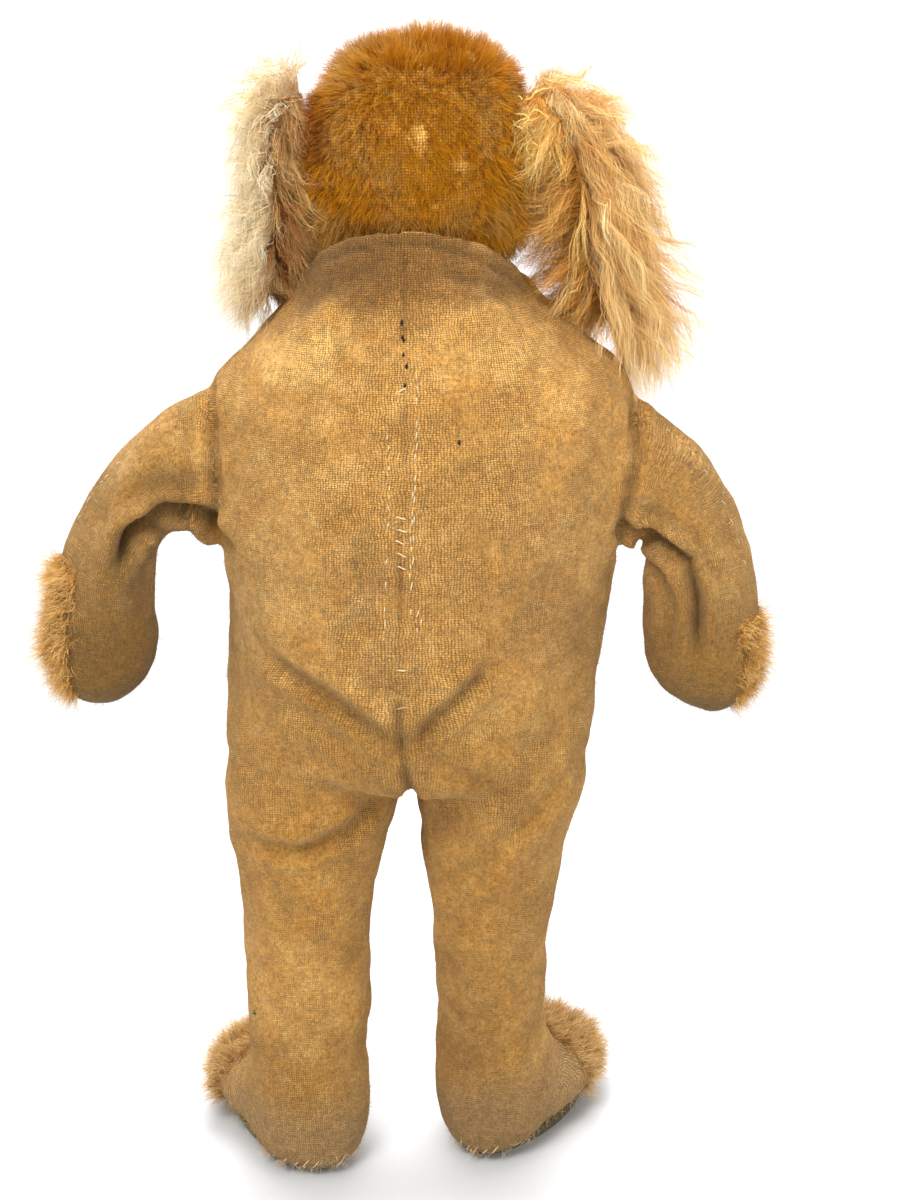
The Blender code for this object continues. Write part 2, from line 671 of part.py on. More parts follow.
def main():
    for thing in list(bpy.data.objects):
        bpy.data.objects.remove(thing)
    root = pivot("torso_origin", Vector((0.0, 0.0, 0.0)))
    neck = pivot("neck_axis", Vector((NECK_X * KX, 0.0, HEAD_BASE_Z * KZ)))
    ears = {
        "left": pivot("ear_left_axis", place(EAR_LEFT[0][0], 0.0, EAR_LEFT[0][1])),
        "right": pivot("ear_right_axis", place(EAR_RIGHT[0][0], 0.0, EAR_RIGHT[0][1])),
    }
    arms = {
        "left": pivot("arm_left_axis", arm_section(ARM_LEFT[0])[0]),
        "right": pivot("arm_right_axis", arm_section(ARM_RIGHT[0])[0]),
    }
    hips = {
        "left": pivot("leg_left_axis", Vector((HIP_LEFT[0] * KX * 0.001, 0.0, HIP_Z * KZ))),
        "right": pivot("leg_right_axis", Vector((HIP_RIGHT[0] * KX * 0.001, 0.0, HIP_Z * KZ))),
    }
    build_torso(root)
    build_closing_thread(root)
    build_neck(root, neck)
    build_head(neck)
    build_ear(EAR_LEFT, "left", ears["left"])
    build_ear(EAR_RIGHT, "right", ears["right"])
    build_arm(ARM_LEFT, ARM_LEFT_TIP, "left", arms["left"])
    build_arm(ARM_RIGHT, ARM_RIGHT_TIP, "right", arms["right"])
    build_leg("left", HIP_LEFT, LEG_LEFT, ANKLE_LEFT, FOOT_SPLAY_LEFT, hips["left"])
    build_leg("right", HIP_RIGHT, LEG_RIGHT, ANKLE_RIGHT, FOOT_SPLAY_RIGHT, hips["right"])
    helpers = [o for o in bpy.data.objects if o.hide_render]
    pivots = [o for o in bpy.data.objects if o.type == "EMPTY"]
    shift = centre_over_origin(pivots, helpers)
    print("shift", [round(v, 5) for v in shift])
    for thing in pivots:
        print(thing.name, [round(v, 5) for v in thing.location])


main()
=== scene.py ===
"""Old stuffed toy dog: worn flannel body, mohair head, ears and paws, dressed over its jointed frame."""

import math

import bmesh
import bpy
import numpy as np
from mathutils import Matrix, Vector
from mathutils.bvhtree import BVHTree


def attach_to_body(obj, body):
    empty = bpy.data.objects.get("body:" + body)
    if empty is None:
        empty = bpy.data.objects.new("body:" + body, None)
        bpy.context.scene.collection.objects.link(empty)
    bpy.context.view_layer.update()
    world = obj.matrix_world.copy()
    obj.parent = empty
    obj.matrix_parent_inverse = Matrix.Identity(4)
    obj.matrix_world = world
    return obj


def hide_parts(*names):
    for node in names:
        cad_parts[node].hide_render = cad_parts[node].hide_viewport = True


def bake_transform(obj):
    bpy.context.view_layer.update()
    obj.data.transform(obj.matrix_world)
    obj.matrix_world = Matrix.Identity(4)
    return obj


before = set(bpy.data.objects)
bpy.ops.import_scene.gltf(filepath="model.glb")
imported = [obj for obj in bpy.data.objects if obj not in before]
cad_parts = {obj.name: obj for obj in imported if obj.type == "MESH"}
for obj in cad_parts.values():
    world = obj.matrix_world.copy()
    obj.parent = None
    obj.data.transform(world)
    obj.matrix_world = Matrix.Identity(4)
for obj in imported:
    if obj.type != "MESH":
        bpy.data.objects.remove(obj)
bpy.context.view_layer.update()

SHIFT = np.array([-0.0002, 0.01565, 0.0])
MM = 0.001
VOXEL = 0.00105
SEED = 11

# Linear colours
TAN = np.array([0.430, 0.221, 0.055])
TAN_LIGHT = np.array([0.580, 0.335, 0.104])
TAN_DARK = np.array([0.310, 0.148, 0.032])
BROWN = np.array([0.118, 0.050, 0.0085])
GREY_BROWN = np.array([0.215, 0.124, 0.048])
OCHRE = np.array([0.450, 0.205, 0.036])
HAND_LEFT_TAN = np.array([0.150, 0.068, 0.008])
HAND_RIGHT_TAN = np.array([0.205, 0.098, 0.016])
PALM_BROWN = np.array([0.105, 0.056, 0.014])
HEEL_EDGE = np.array([0.095, 0.070, 0.032])
LOW_CLOTH_TINT = np.array([1.0, 0.965, 0.80])

# Studio
CAMERA_TARGET = (-0.010, 0.1405)
CAMERA_DISTANCE = 0.520
CAMERA_TILT = math.radians(15.0)
CAMERA_HALF_HEIGHT = 600.0 / 2271.0
WORLD_LIGHT = 0.60
KEY_POWER = 10.2
FILL_POWER = 3.2
WALL_POWER = 26.0


def at(points):
    """Millimetres about the toy's own middle to metres in the frame."""
    return np.asarray(points, float) * MM + SHIFT


def waves(points, size, seed, terms=9):
    """Smooth seeded noise, about -1 to 1, over a length in metres."""
    rng = np.random.default_rng(seed)
    total = np.zeros(len(points))
    for _ in range(terms):
        d = rng.normal(size=3)
        d *= (2 * math.pi / size) * rng.uniform(0.6, 1.5) / np.linalg.norm(d)
        total += np.sin(points @ d + rng.uniform(0, 7))
    return total / math.sqrt(terms / 1.6)


def unit(v):
    return v / np.maximum(np.linalg.norm(v, axis=-1, keepdims=True), 1e-9)


def blend_in(x, low, high):
    t = np.clip((x - low) / (high - low), 0, 1)
    return t * t * (3 - 2 * t)


def mix(a, b, t):
    t = np.asarray(t)[..., None]
    return np.asarray(a) * (1 - t) + np.asarray(b) * t


# ---------------------------------------------------------------- meshes

def placed(name, shape, material=None):
    """A finished bmesh as a smooth object at the origin."""
    bmesh.ops.recalc_face_normals(shape, faces=shape.faces)
    mesh = bpy.data.meshes.new(name)
    shape.to_mesh(mesh)
    shape.free()
    mesh.polygons.foreach_set("use_smooth", np.ones(len(mesh.polygons), bool))
    made = bpy.data.objects.new(name, mesh)
    bpy.context.scene.collection.objects.link(made)
    if material is not None:
        mesh.materials.append(material)
    return made


def strand_mesh(name, points, quads):
    """Thousands of loose hairs in one mesh."""
    mesh = bpy.data.meshes.new(name)
    mesh.vertices.add(len(points))
    mesh.vertices.foreach_set("co", np.asarray(points, np.float32).ravel())
    mesh.loops.add(quads.size)
    mesh.loops.foreach_set("vertex_index", quads.astype(np.int32).ravel())
    mesh.polygons.add(len(quads))
    mesh.polygons.foreach_set("loop_start", np.arange(len(quads), dtype=np.int32) * 4)
    mesh.update(calc_edges=True)
    mesh.polygons.foreach_set("use_smooth", np.ones(len(quads), bool))
    made = bpy.data.objects.new(name, mesh)
    bpy.context.scene.collection.objects.link(made)
    return made


def arrays(mesh):
    """Points and normals of a mesh."""
    points = np.empty(len(mesh.vertices) * 3)
    mesh.vertices.foreach_get("co", points)
    normals = np.empty(len(mesh.vertices) * 3)
    mesh.vertices.foreach_get("normal", normals)
    return points.reshape(-1, 3), normals.reshape(-1, 3)


def triangles(mesh):
    mesh.calc_loop_triangles()
    found = np.empty(len(mesh.loop_triangles) * 3, np.int32)
    mesh.loop_triangles.foreach_get("vertices", found)
    return found.reshape(-1, 3)


def moved(obj, points):
    obj.data.vertices.foreach_set("co", points.astype(np.float32).ravel())
    obj.data.update()
    return arrays(obj.data)


def resample(rows, count):
    """A smooth curve through rows of numbers."""
    rows = np.asarray(rows, float)
    padded = np.vstack([2 * rows[0] - rows[1], rows, 2 * rows[-1] - rows[-2]])
    t = np.linspace(0, len(rows) - 1, count)
    i = np.minimum(t.astype(int), len(rows) - 2)
    f = (t - i)[:, None]
    a, b, c, d = (padded[i + k] for k in range(4))
    return 0.5 * (2 * b + (c - a) * f + (2 * a - 5 * b + 4 * c - d) * f ** 2
                  + (3 * b - a - 3 * c + d) * f ** 3)


def tube(shape, rims, tips=(None, None)):
    """A disc drawn out rim by rim into a closed tube, each new rim moved to its own section."""
    place = shape.verts.layers.int.get("place") or shape.verts.layers.int.new("place")
    start = bmesh.ops.create_circle(shape, cap_ends=True, segments=rims.shape[1], radius=0.01)["verts"]
    for j, vert in enumerate(start):
        vert[place] = j
        vert.co = rims[0][j]
    first = last = start[0].link_faces[0]
    for rim in rims[1:]:
        drawn = bmesh.ops.extrude_face_region(shape, geom=[last])["geom"]
        last = next(piece for piece in drawn if isinstance(piece, bmesh.types.BMFace))
        for vert in last.verts:
            vert.co = rim[vert[place]]
    for cap, tip in ((first, tips[0]), (last, tips[1])):
        if tip is not None:
            middle = bmesh.ops.poke(shape, faces=[cap])["verts"][0]
            middle.co = tip


def oval_rims(centres, ones, twos, around=48, power=1.0):
    turn = np.linspace(0, 2 * math.pi, around, endpoint=False)
    c, s = np.cos(turn), np.sin(turn)
    if power != 1.0:
        c = np.sign(c) * np.abs(c) ** power
        s = np.sign(s) * np.abs(s) ** power
    return centres[:, None] + ones[:, None] * c[None, :, None] + twos[:, None] * s[None, :, None]


def one_skin(name, shape, voxel, smooth):
    """One closed skin over overlapping tubes."""
    made = placed(name, shape)
    step = made.modifiers.new("skin", "REMESH")
    step.mode = "VOXEL"
    step.voxel_size = voxel
    step = made.modifiers.new("soften", "SMOOTH")
    step.factor = 0.5
    step.iterations = smooth
    bpy.context.view_layer.update()
    graph = bpy.context.evaluated_depsgraph_get()
    final = bpy.data.meshes.new_from_object(made.evaluated_get(graph))
    made.modifiers.clear()
    made.data = final
    final.polygons.foreach_set("use_smooth", np.ones(len(final.polygons), bool))
    return made


def point_attribute(mesh, name, values):
    values = np.asarray(values, np.float32)
    if values.ndim == 1:
        layer = mesh.attributes.new(name, "FLOAT", "POINT")
        layer.data.foreach_set("value", values)
    else:
        layer = mesh.attributes.new(name, "FLOAT_COLOR", "POINT")
        colours = np.ones((len(values), 4), np.float32)
        colours[:, :3] = values
        layer.data.foreach_set("color", colours.ravel())


# ---------------------------------------------------------------- materials

def new_material(name, roughness=0.9):
    made = bpy.data.materials.new(name)
    made.use_nodes = True
    tree = made.node_tree
    shader = tree.nodes["Principled BSDF"]
    shader.inputs["Roughness"].default_value = roughness
    return made, tree, shader


def node(tree, kind, **values):
    made = tree.nodes.new(kind)
    for key, value in values.items():
        if key in made.inputs:
            made.inputs[key].default_value = value
        else:
            setattr(made, key, value)
    return made


def sum_node(tree, operation, a, b=None):
    made = tree.nodes.new("ShaderNodeMath")
    made.operation = operation
    for i, value in enumerate((a, b)):
        if value is None:
            continue
        if isinstance(value, (int, float)):
            made.inputs[i].default_value = value
        else:
            tree.links.new(value, made.inputs[i])
    return made.outputs[0]


def noise_node(tree, where, scale, detail=3.0, roughness=0.6):
    made = node(tree, "ShaderNodeTexNoise", Scale=scale, Detail=detail, Roughness=roughness)
    tree.links.new(where, made.inputs["Vector"])
    return made.outputs["Fac"]


def ranged(tree, value, low, high, to_low=0.0, to_high=1.0):
    made = node(tree, "ShaderNodeMapRange", **{"From Min": low, "From Max": high, "To Min": to_low, "To Max": to_high})
    tree.links.new(value, made.inputs["Value"])
    return made.outputs["Result"]


def tint_source(tree, name="Tint"):
    return node(tree, "ShaderNodeAttribute", attribute_name=name).outputs


def hair_material(name, roughness=0.6, sheen=0.06, gloss=0.12):
    made, tree, shader = new_material(name, roughness)
    where = node(tree, "ShaderNodeTexCoord").outputs["Object"]
    change = ranged(tree, noise_node(tree, where, 900.0), 0.3, 0.7, 0.86, 1.14)
    tint = node(tree, "ShaderNodeVectorMath", operation="SCALE")
    tree.links.new(tint_source(tree)["Color"], tint.inputs[0])
    tree.links.new(change, tint.inputs["Scale"])
    tree.links.new(tint.outputs[0], shader.inputs["Base Color"])
    shader.inputs["Sheen Weight"].default_value = sheen
    shader.inputs["Sheen Roughness"].default_value = 0.4
    shader.inputs["Sheen Tint"].default_value = (1.0, 0.82, 0.5, 1.0)
    shader.inputs["Specular IOR Level"].default_value = gloss
    return made


def cloth_material(name, pitch=0.44, depth=0.9, bold=2.2):
    """Napped plain weave: clumped nap over threads that show where it is worn."""
    made, tree, shader = new_material(name, 0.95)
    links = tree.links
    uv = node(tree, "ShaderNodeUVMap", uv_map="Cloth").outputs[0]
    where = node(tree, "ShaderNodeTexCoord").outputs["Object"]
    bend = node(tree, "ShaderNodeTexNoise", Scale=0.30, Detail=2.0)
    links.new(uv, bend.inputs["Vector"])
    pulled = node(tree, "ShaderNodeVectorMath", operation="MULTIPLY_ADD")
    links.new(bend.outputs["Color"], pulled.inputs[0])
    pulled.inputs[1].default_value = (1.1, 1.1, 0.0)
    links.new(uv, pulled.inputs[2])
    parts = node(tree, "ShaderNodeSeparateXYZ")
    links.new(pulled.outputs[0], parts.inputs[0])
    across = sum_node(tree, "SINE", sum_node(tree, "MULTIPLY", parts.outputs[0], math.pi / pitch))
    along = sum_node(tree, "SINE", sum_node(tree, "MULTIPLY", parts.outputs[1], math.pi / pitch))
    both = sum_node(tree, "MULTIPLY", across, along)
    weave = sum_node(tree, "POWER", sum_node(tree, "ABSOLUTE", both), 0.6)
    over = sum_node(tree, "GREATER_THAN", both, 0.0)
    slubs = []
    for stretch in ((1 / pitch, 0.22, 1.0), (0.22, 1 / pitch, 1.0)):
        laid = node(tree, "ShaderNodeVectorMath", operation="MULTIPLY")
        links.new(pulled.outputs[0], laid.inputs[0])
        laid.inputs[1].default_value = stretch
        slubs.append(noise_node(tree, laid.outputs[0], 1.0, 2.0, 0.5))
    slub = sum_node(tree, "SUBTRACT", sum_node(tree, "ADD", *slubs), 1.0)
    clump = noise_node(tree, where, 520.0, 4.0, 0.62)
    speck = noise_node(tree, where, 1300.0, 4.0, 0.75)
    fibre = noise_node(tree, where, 3200.0, 3.0, 0.75)
    patch = noise_node(tree, where, 150.0, 3.0, 0.6)
    worn = tint_source(tree, "Worn")["Fac"]
    bare = ranged(tree, sum_node(tree, "ADD", worn, sum_node(tree, "MULTIPLY",
                  sum_node(tree, "SUBTRACT", patch, 0.5), 1.1)), 0.16, 0.62)
    pale = ranged(tree, noise_node(tree, where, 1500.0, 3.0, 0.6), 0.53, 0.68, 0.0, 0.85)
    raised = sum_node(tree, "ADD", sum_node(tree, "SUBTRACT", weave, 0.56), sum_node(tree, "MULTIPLY", pale, weave))
    threads = sum_node(tree, "ADD", sum_node(tree, "MULTIPLY", raised, 0.62 * bold),
                       sum_node(tree, "ADD", sum_node(tree, "MULTIPLY", over, 0.10 * bold),
                                sum_node(tree, "MULTIPLY", slub, 0.95)))
    nap = sum_node(tree, "ADD", sum_node(tree, "MULTIPLY", sum_node(tree, "SUBTRACT", clump, 0.5), 1.15),
                   sum_node(tree, "ADD", sum_node(tree, "MULTIPLY", sum_node(tree, "SUBTRACT", speck, 0.5), 2.4),
                            sum_node(tree, "MULTIPLY", sum_node(tree, "SUBTRACT", fibre, 0.5), 1.7)))
    value = sum_node(tree, "ADD", sum_node(tree, "ADD", sum_node(tree, "MULTIPLY", threads, bare), nap), 1.06)
    value = sum_node(tree, "MAXIMUM", value, 0.56)
    tint = node(tree, "ShaderNodeVectorMath", operation="SCALE")
    links.new(tint_source(tree)["Color"], tint.inputs[0])
    links.new(value, tint.inputs["Scale"])
    rusty = node(tree, "ShaderNodeMix", data_type="RGBA", blend_type="MULTIPLY")
    links.new(ranged(tree, noise_node(tree, where, 750.0, 4.0, 0.7), 0.52, 0.72, 0.0, 0.62), rusty.inputs[0])
    links.new(tint.outputs[0], rusty.inputs[6])
    rusty.inputs[7].default_value = (0.80, 0.62, 0.40, 1)
    links.new(rusty.outputs[2], shader.inputs["Base Color"])
    showing = sum_node(tree, "ADD", sum_node(tree, "MULTIPLY", bare, 0.9), 0.15)
    fuzz = sum_node(tree, "ADD", sum_node(tree, "MULTIPLY", speck, 0.9), sum_node(tree, "MULTIPLY", fibre, 0.5))
    height = sum_node(tree, "ADD", sum_node(tree, "MULTIPLY", weave, showing), fuzz)
    bump = node(tree, "ShaderNodeBump", Strength=depth, Distance=0.0004)
    links.new(height, bump.inputs["Height"])
    links.new(bump.outputs[0], shader.inputs["Normal"])
    shader.inputs["Sheen Weight"].default_value = 0.25
    shader.inputs["Sheen Roughness"].default_value = 0.6
    shader.inputs["Sheen Tint"].default_value = (1.0, 0.80, 0.50, 1.0)
    shader.inputs["Specular IOR Level"].default_value = 0.1
    return made


def plain_material(name, colour, roughness, bump=0.0, scale=900.0):
    made, tree, shader = new_material(name, roughness)
    links = tree.links
    where = node(tree, "ShaderNodeTexCoord").outputs["Object"]
    noise = noise_node(tree, where, scale, 4.0)
    ramp = node(tree, "ShaderNodeMix", data_type="RGBA")
    links.new(noise, ramp.inputs[0])
    ramp.inputs[6].default_value = (*(np.asarray(colour) * 0.6), 1)
    ramp.inputs[7].default_value = (*(np.asarray(colour) * 1.4), 1)
    links.new(ramp.outputs[2], shader.inputs["Base Color"])
    if bump:
        step = node(tree, "ShaderNodeBump", Strength=bump, Distance=0.0004)
        links.new(noise, step.inputs["Height"])
        links.new(step.outputs[0], shader.inputs["Normal"])
    return made


# ---------------------------------------------------------------- strands

def scatter(points, normals, faces, per_area, rng, weight=None):
    """Random places on a surface: points and normals, per_area to the square millimetre."""
    a, b, c = (points[faces[:, k]] for k in range(3))
    area = np.linalg.norm(np.cross(b - a, c - a), axis=1) / 2
    if weight is not None:
        area = area * weight[faces].mean(1)
    count = int(area.sum() / MM ** 2 * per_area)
    chosen = rng.choice(len(faces), size=count, p=area / area.sum())
    u, v = rng.random(count), rng.random(count)
    over = u + v > 1
    u[over], v[over] = 1 - u[over], 1 - v[over]
    w = 1 - u - v
    f = faces[chosen]
    share = (w[:, None], u[:, None], v[:, None])
    spot = sum(points[f[:, k]] * share[k] for k in range(3))
    facing = unit(sum(normals[f[:, k]] * share[k] for k in range(3)))
    return spot, facing


def curves(roots, start, length, steps, rng, pull=None, pull_power=1.0, wave=0.0, turns=1.0, jitter=0.0):
    """Centre lines that leave along start and bend towards pull: (n, steps + 1, 3)."""
    n = len(roots)
    d = unit(start + rng.normal(size=(n, 3)) * jitter)
    lines = np.empty((n, steps + 1, 3))
    lines[:, 0] = roots
    hop = (np.asarray(length) / steps)[:, None] if np.ndim(length) else length / steps
    spot = roots.copy()
    for k in range(1, steps + 1):
        if pull is not None:
            d = unit(d + pull * (k / steps) ** pull_power)
        spot = spot + d * hop
        lines[:, k] = spot
    if np.any(wave):
        side = unit(np.cross(start, rng.normal(size=(n, 3))))
        lift = unit(np.cross(side, start))
        t = np.linspace(0, 1, steps + 1)[None, :, None]
        phase = rng.uniform(0, 6.3, (n, 1, 1))
        rate = 2 * math.pi * turns * rng.uniform(0.75, 1.25, (n, 1, 1))
        size = np.broadcast_to(np.asarray(wave).reshape(-1, 1, 1), (n, 1, 1)) * np.minimum(t * 2.2, 1)
        lines += size * (side[:, None] * np.sin(rate * t + phase) + 0.6 * lift[:, None] * np.cos(rate * t + phase))
        lines[:, 0] = roots
    return lines


def children(lines, per, radius, spread, rng, short=0.35, fuzz=0.0, normals=None):
    """Strands round each guide: spread < 0 gathers their tips, > 0 opens them."""
    n, k, _ = lines.shape
    guide = np.repeat(np.arange(n), per)
    m = len(guide)
    aim = unit(lines[:, 1] - lines[:, 0]) if normals is None else normals
    off = rng.normal(size=(m, 3))
    off -= (off * aim[guide]).sum(1, keepdims=True) * aim[guide]
    off = unit(off) * (radius * np.sqrt(rng.random((m, 1))))
    t = np.linspace(0, 1, k)[None, :, None]
    size = (1 - short * rng.random((m, 1, 1)) ** 1.3)
    body = (lines[guide] - lines[guide][:, :1]) * size
    out = lines[guide][:, :1] + off[:, None] * (1 + spread * t) + body
    if fuzz:
        lean = rng.normal(size=(m, 1, 3))
        out = out + lean * (fuzz * t ** 1.4)
    return out, guide


def ribbon_object(name, lines, width, root_colour, tip_colour, rng, material, middle=None):
    """Thin tapered ribbons along lines, each with its own small place on the OFBake map."""
    n, k, _ = lines.shape
    along = unit(np.gradient(lines, axis=1))
    side = unit(np.cross(along, unit(rng.normal(size=(n, 1, 3)))))
    t = np.linspace(0, 1, k)
    taper = (1 - 0.8 * t ** 1.5)[None, :, None]
    half = np.broadcast_to(np.asarray(width).reshape(-1, 1, 1), (n, 1, 1)) * 0.5 * taper
    points = np.stack([lines - side * half, lines + side * half], 2).reshape(-1, 3)
    ids = np.arange(n * k * 2).reshape(n, k, 2)
    faces = np.stack([ids[:, :-1, 0], ids[:, :-1, 1], ids[:, 1:, 1], ids[:, 1:, 0]], -1).reshape(-1, 4)
    made = strand_mesh(name, points, faces)
    made.data.materials.append(material)
    shade = t[None, :, None]
    if middle is None:
        colours = root_colour[:, None] * (1 - shade) + tip_colour[:, None] * shade
    else:
        low = np.clip(shade * 2, 0, 1)
        high = np.clip(shade * 2 - 1, 0, 1)
        colours = (root_colour[:, None] * (1 - low) + middle[:, None] * low) * (1 - high) + tip_colour[:, None] * high
    colours = np.repeat(colours, 2, axis=1).reshape(-1, 3)
    point_attribute(made.data, "Tint", np.clip(colours, 0.002, 0.95))
    cells = int(math.ceil(math.sqrt(n)))
    place = np.empty(n, int)
    place[np.lexsort((lines[:, 0, 0], np.round(lines[:, 0, 2] / 0.002)))] = np.arange(n)
    col, row = place % cells, place // cells
    u0 = (col + 0.15) / cells
    u1 = (col + 0.85) / cells
    v = (row[:, None] + 0.15 + 0.7 * t[None]) / cells
    corner_uv = np.stack([np.stack([np.repeat(u0[:, None], k, 1), v], -1),
                          np.stack([np.repeat(u1[:, None], k, 1), v], -1)], 2).reshape(-1, 2)
    layer = made.data.uv_layers.new(name="OFBake")
    layer.data.foreach_set("uv", corner_uv[faces.ravel()].astype(np.float32).ravel())
    return made


# ---------------------------------------------------------------- the body's shape

TORSO = [
    (99.5, 0.6, 30.0, 19.0), (102.0, 0.6, 37.0, 24.0), (107.0, 0.2, 41.0, 26.8),
    (116.0, -0.2, 41.9, 28.0), (126.0, -0.9, 42.2, 29.0), (140.0, -2.2, 43.3, 29.0),
    (155.0, -2.8, 44.7, 28.5), (170.0, -3.2, 46.2, 28.0), (180.0, -3.8, 47.4, 27.0),
    (186.0, -4.0, 48.0, 26.6), (192.5, -3.5, 46.6, 26.0), (199.0, -3.0, 40.3, 25.8),
    (206.0, -2.4, 32.6, 25.9), (211.0, -2.2, 27.4, 26.2),
]
LEG_LEFT = [
    (114.0, 19.4, 0.0, 20.0, 21.0), (100.0, 21.2, 0.0, 20.4, 20.5), (88.0, 22.6, 0.0, 18.6, 18.8),
    (79.0, 23.3, -0.2, 17.0, 17.5), (66.0, 23.8, -0.5, 15.4, 16.0), (52.0, 23.9, -0.8, 15.0, 15.0),
    (40.0, 23.9, -1.0, 15.0, 14.6),
]
LEG_RIGHT = [
    (114.0, -19.4, 0.0, 20.0, 21.0), (100.0, -20.8, 0.0, 20.2, 20.5), (88.0, -20.8, -1.0, 18.0, 18.6),
    (79.0, -20.3, -2.0, 16.9, 17.2), (66.0, -20.1, -3.5, 15.0, 15.8), (52.0, -20.0, -5.5, 14.0, 14.8),
    (40.0, -20.3, -7.0, 13.6, 14.3),
]
FOOT = [
    (-14.0, 31.0, 13.2, 27.0, 13.9), (-16.0, 27.0, 15.4, 14.0, 14.6), (-19.0, 25.0, 12.6, 2.4, 15.2),
    (-23.0, 23.5, 3.0, 1.6, 15.8), (-30.0, 21.5, -12.0, 1.6, 16.8), (-37.0, 18.5, -27.0, 1.6, 15.6),
    (-42.0, 14.8, -37.0, 1.8, 12.4), (-45.0, 11.0, -43.0, 3.0, 7.6),
]
FEET = {"left": (24.0, -1.5, 20.0), "right": (-20.6, -8.5, -25.0)}
ARM_LEFT = [
    (38.0, 184.0, 37.0, 158.0, 11.0), (44.0, 189.0, 42.4, 153.6, 10.5),
    (49.0, 187.0, 46.6, 155.4, 11.5), (54.0, 184.3, 50.0, 157.2, 12.0), (59.6, 180.0, 53.2, 156.4, 12.4),
    (65.6, 174.2, 55.8, 152.8, 13.0), (71.8, 167.0, 57.0, 146.6, 13.2), (77.2, 156.8, 57.4, 140.0, 13.0),
    (80.0, 145.0, 57.4, 134.0, 12.4), (81.0, 133.0, 58.4, 128.0, 11.6), (79.4, 123.6, 61.4, 122.2, 10.2),
    (75.8, 119.0, 65.6, 118.8, 7.0),
]
ARM_RIGHT = [
    (-45.0, 182.0, -42.0, 159.0, 11.0), (-52.0, 187.4, -48.0, 154.4, 10.5),
    (-56.0, 184.8, -51.6, 155.8, 11.5), (-60.0, 181.8, -54.0, 156.2, 12.0), (-64.2, 178.2, -55.0, 154.8, 12.4),
    (-68.4, 172.6, -55.4, 150.6, 13.0), (-73.0, 164.6, -55.4, 144.6, 13.2), (-77.2, 154.4, -55.4, 138.0, 13.0),
    (-79.8, 143.0, -55.8, 132.0, 12.4), (-80.6, 131.0, -57.2, 125.6, 11.6), (-78.8, 121.6, -61.0, 119.4, 10.2),
    (-74.8, 116.6, -65.6, 116.0, 7.0),
]
ARM_TIPS = {"left": (70.8, 0.0, 117.7), "right": (-70.2, 0.0, 114.8)}
NECK_X = -2.2


def collar_height(turn):
    return 213.0 + 14.4 * np.maximum(0.0, np.sin(turn)) ** 1.35


def torso_tube(shape):
    rows = resample(TORSO, 60)
    around = 96
    turn = np.linspace(0, 2 * math.pi, around, endpoint=False)
    c, s = np.cos(turn), np.sin(turn)
    rims = []
    for z, x, hx, hy in rows:
        rims.append(np.stack([x + hx * np.sign(c) * np.abs(c) ** 0.92, hy * np.sign(s) * np.abs(s) ** 0.92,
                              np.full(around, z)], -1))
    top = collar_height(turn)
    for share, radius in ((0.0, 26.6), (0.35, 26.3), (0.7, 26.3), (1.0, 26.2)):
        rims.append(np.stack([NECK_X + radius * c, radius * s, 213.0 + (top - 213.0) * share], -1))
    rims.append(np.stack([NECK_X + 25.4 * c, 25.4 * s, top + 0.7], -1))
    rims.append(np.stack([NECK_X + 24.3 * c, 24.3 * s, top], -1))
    rims.append(np.stack([NECK_X + 23.6 * c, 23.6 * s, 212.0 + (top - 213.0) * 0.5], -1))
    rims.append(np.stack([NECK_X + 23.2 * c, 23.2 * s, np.full(around, 207.0)], -1))
    tube(shape, at(np.array(rims)))


def limb_tube(shape, rows, count, tip=None):
    rows = resample(rows, count)
    tops = np.stack([rows[:, 0], np.zeros(count), rows[:, 1]], -1)
    lows = np.stack([rows[:, 2], np.zeros(count), rows[:, 3]], -1)
    across = np.zeros((count, 3))
    across[:, 1] = rows[:, 4] * MM
    tube(shape, oval_rims(at((tops + lows) / 2), (tops - lows) / 2 * MM, across),
         (None, None if tip is None else at(tip)))


def foot_frame(side):
    x, y, splay = FEET[side]
    turn = math.radians(splay)
    spin = np.array([[math.cos(turn), -math.sin(turn), 0], [math.sin(turn), math.cos(turn), 0], [0, 0, 1]])
    return np.array([x, y, 0.0]), spin


def leg_tube(shape, rows, side):
    origin, spin = foot_frame(side)
    centres, ones, twos = [], [], []
    for z, x, y, hx, hy in resample(rows, 26):
        centres.append((x, y, z))
        ones.append((hx, 0, 0))
        twos.append((0, -hy, 0))
    for ty, tz, ly, lz, half in resample(FOOT, 26):
        top = spin @ np.array([0, ty, tz])
        low = spin @ np.array([0, ly, lz])
        centres.append(origin + (top + low) / 2)
        ones.append(spin @ np.array([half, 0, 0]))
        twos.append((top - low) / 2)
    rims = oval_rims(at(centres), np.array(ones) * MM, np.array(twos) * MM)
    rims[:, :, 2] = np.maximum(rims[:, :, 2], 1.3 * MM)
    tube(shape, rims, (None, at(origin + spin @ np.array([0, -46.5, 6.5]))))


def near_line(xz, line):
    """Distance in millimetres from points in the x-z plane to a line of points, and how far along."""
    best = np.full(len(xz), 1e9)
    where = np.zeros(len(xz))
    total = len(line) - 1
    for i in range(total):
        a, b = np.array(line[i], float), np.array(line[i + 1], float)
        d = b - a
        t = np.clip(((xz - a) @ d) / (d @ d), 0, 1)
        gap = np.linalg.norm(xz - a - t[:, None] * d, axis=1)
        closer = gap < best
        best[closer] = gap[closer]
        where[closer] = (i + t[closer]) / total
    return best, where


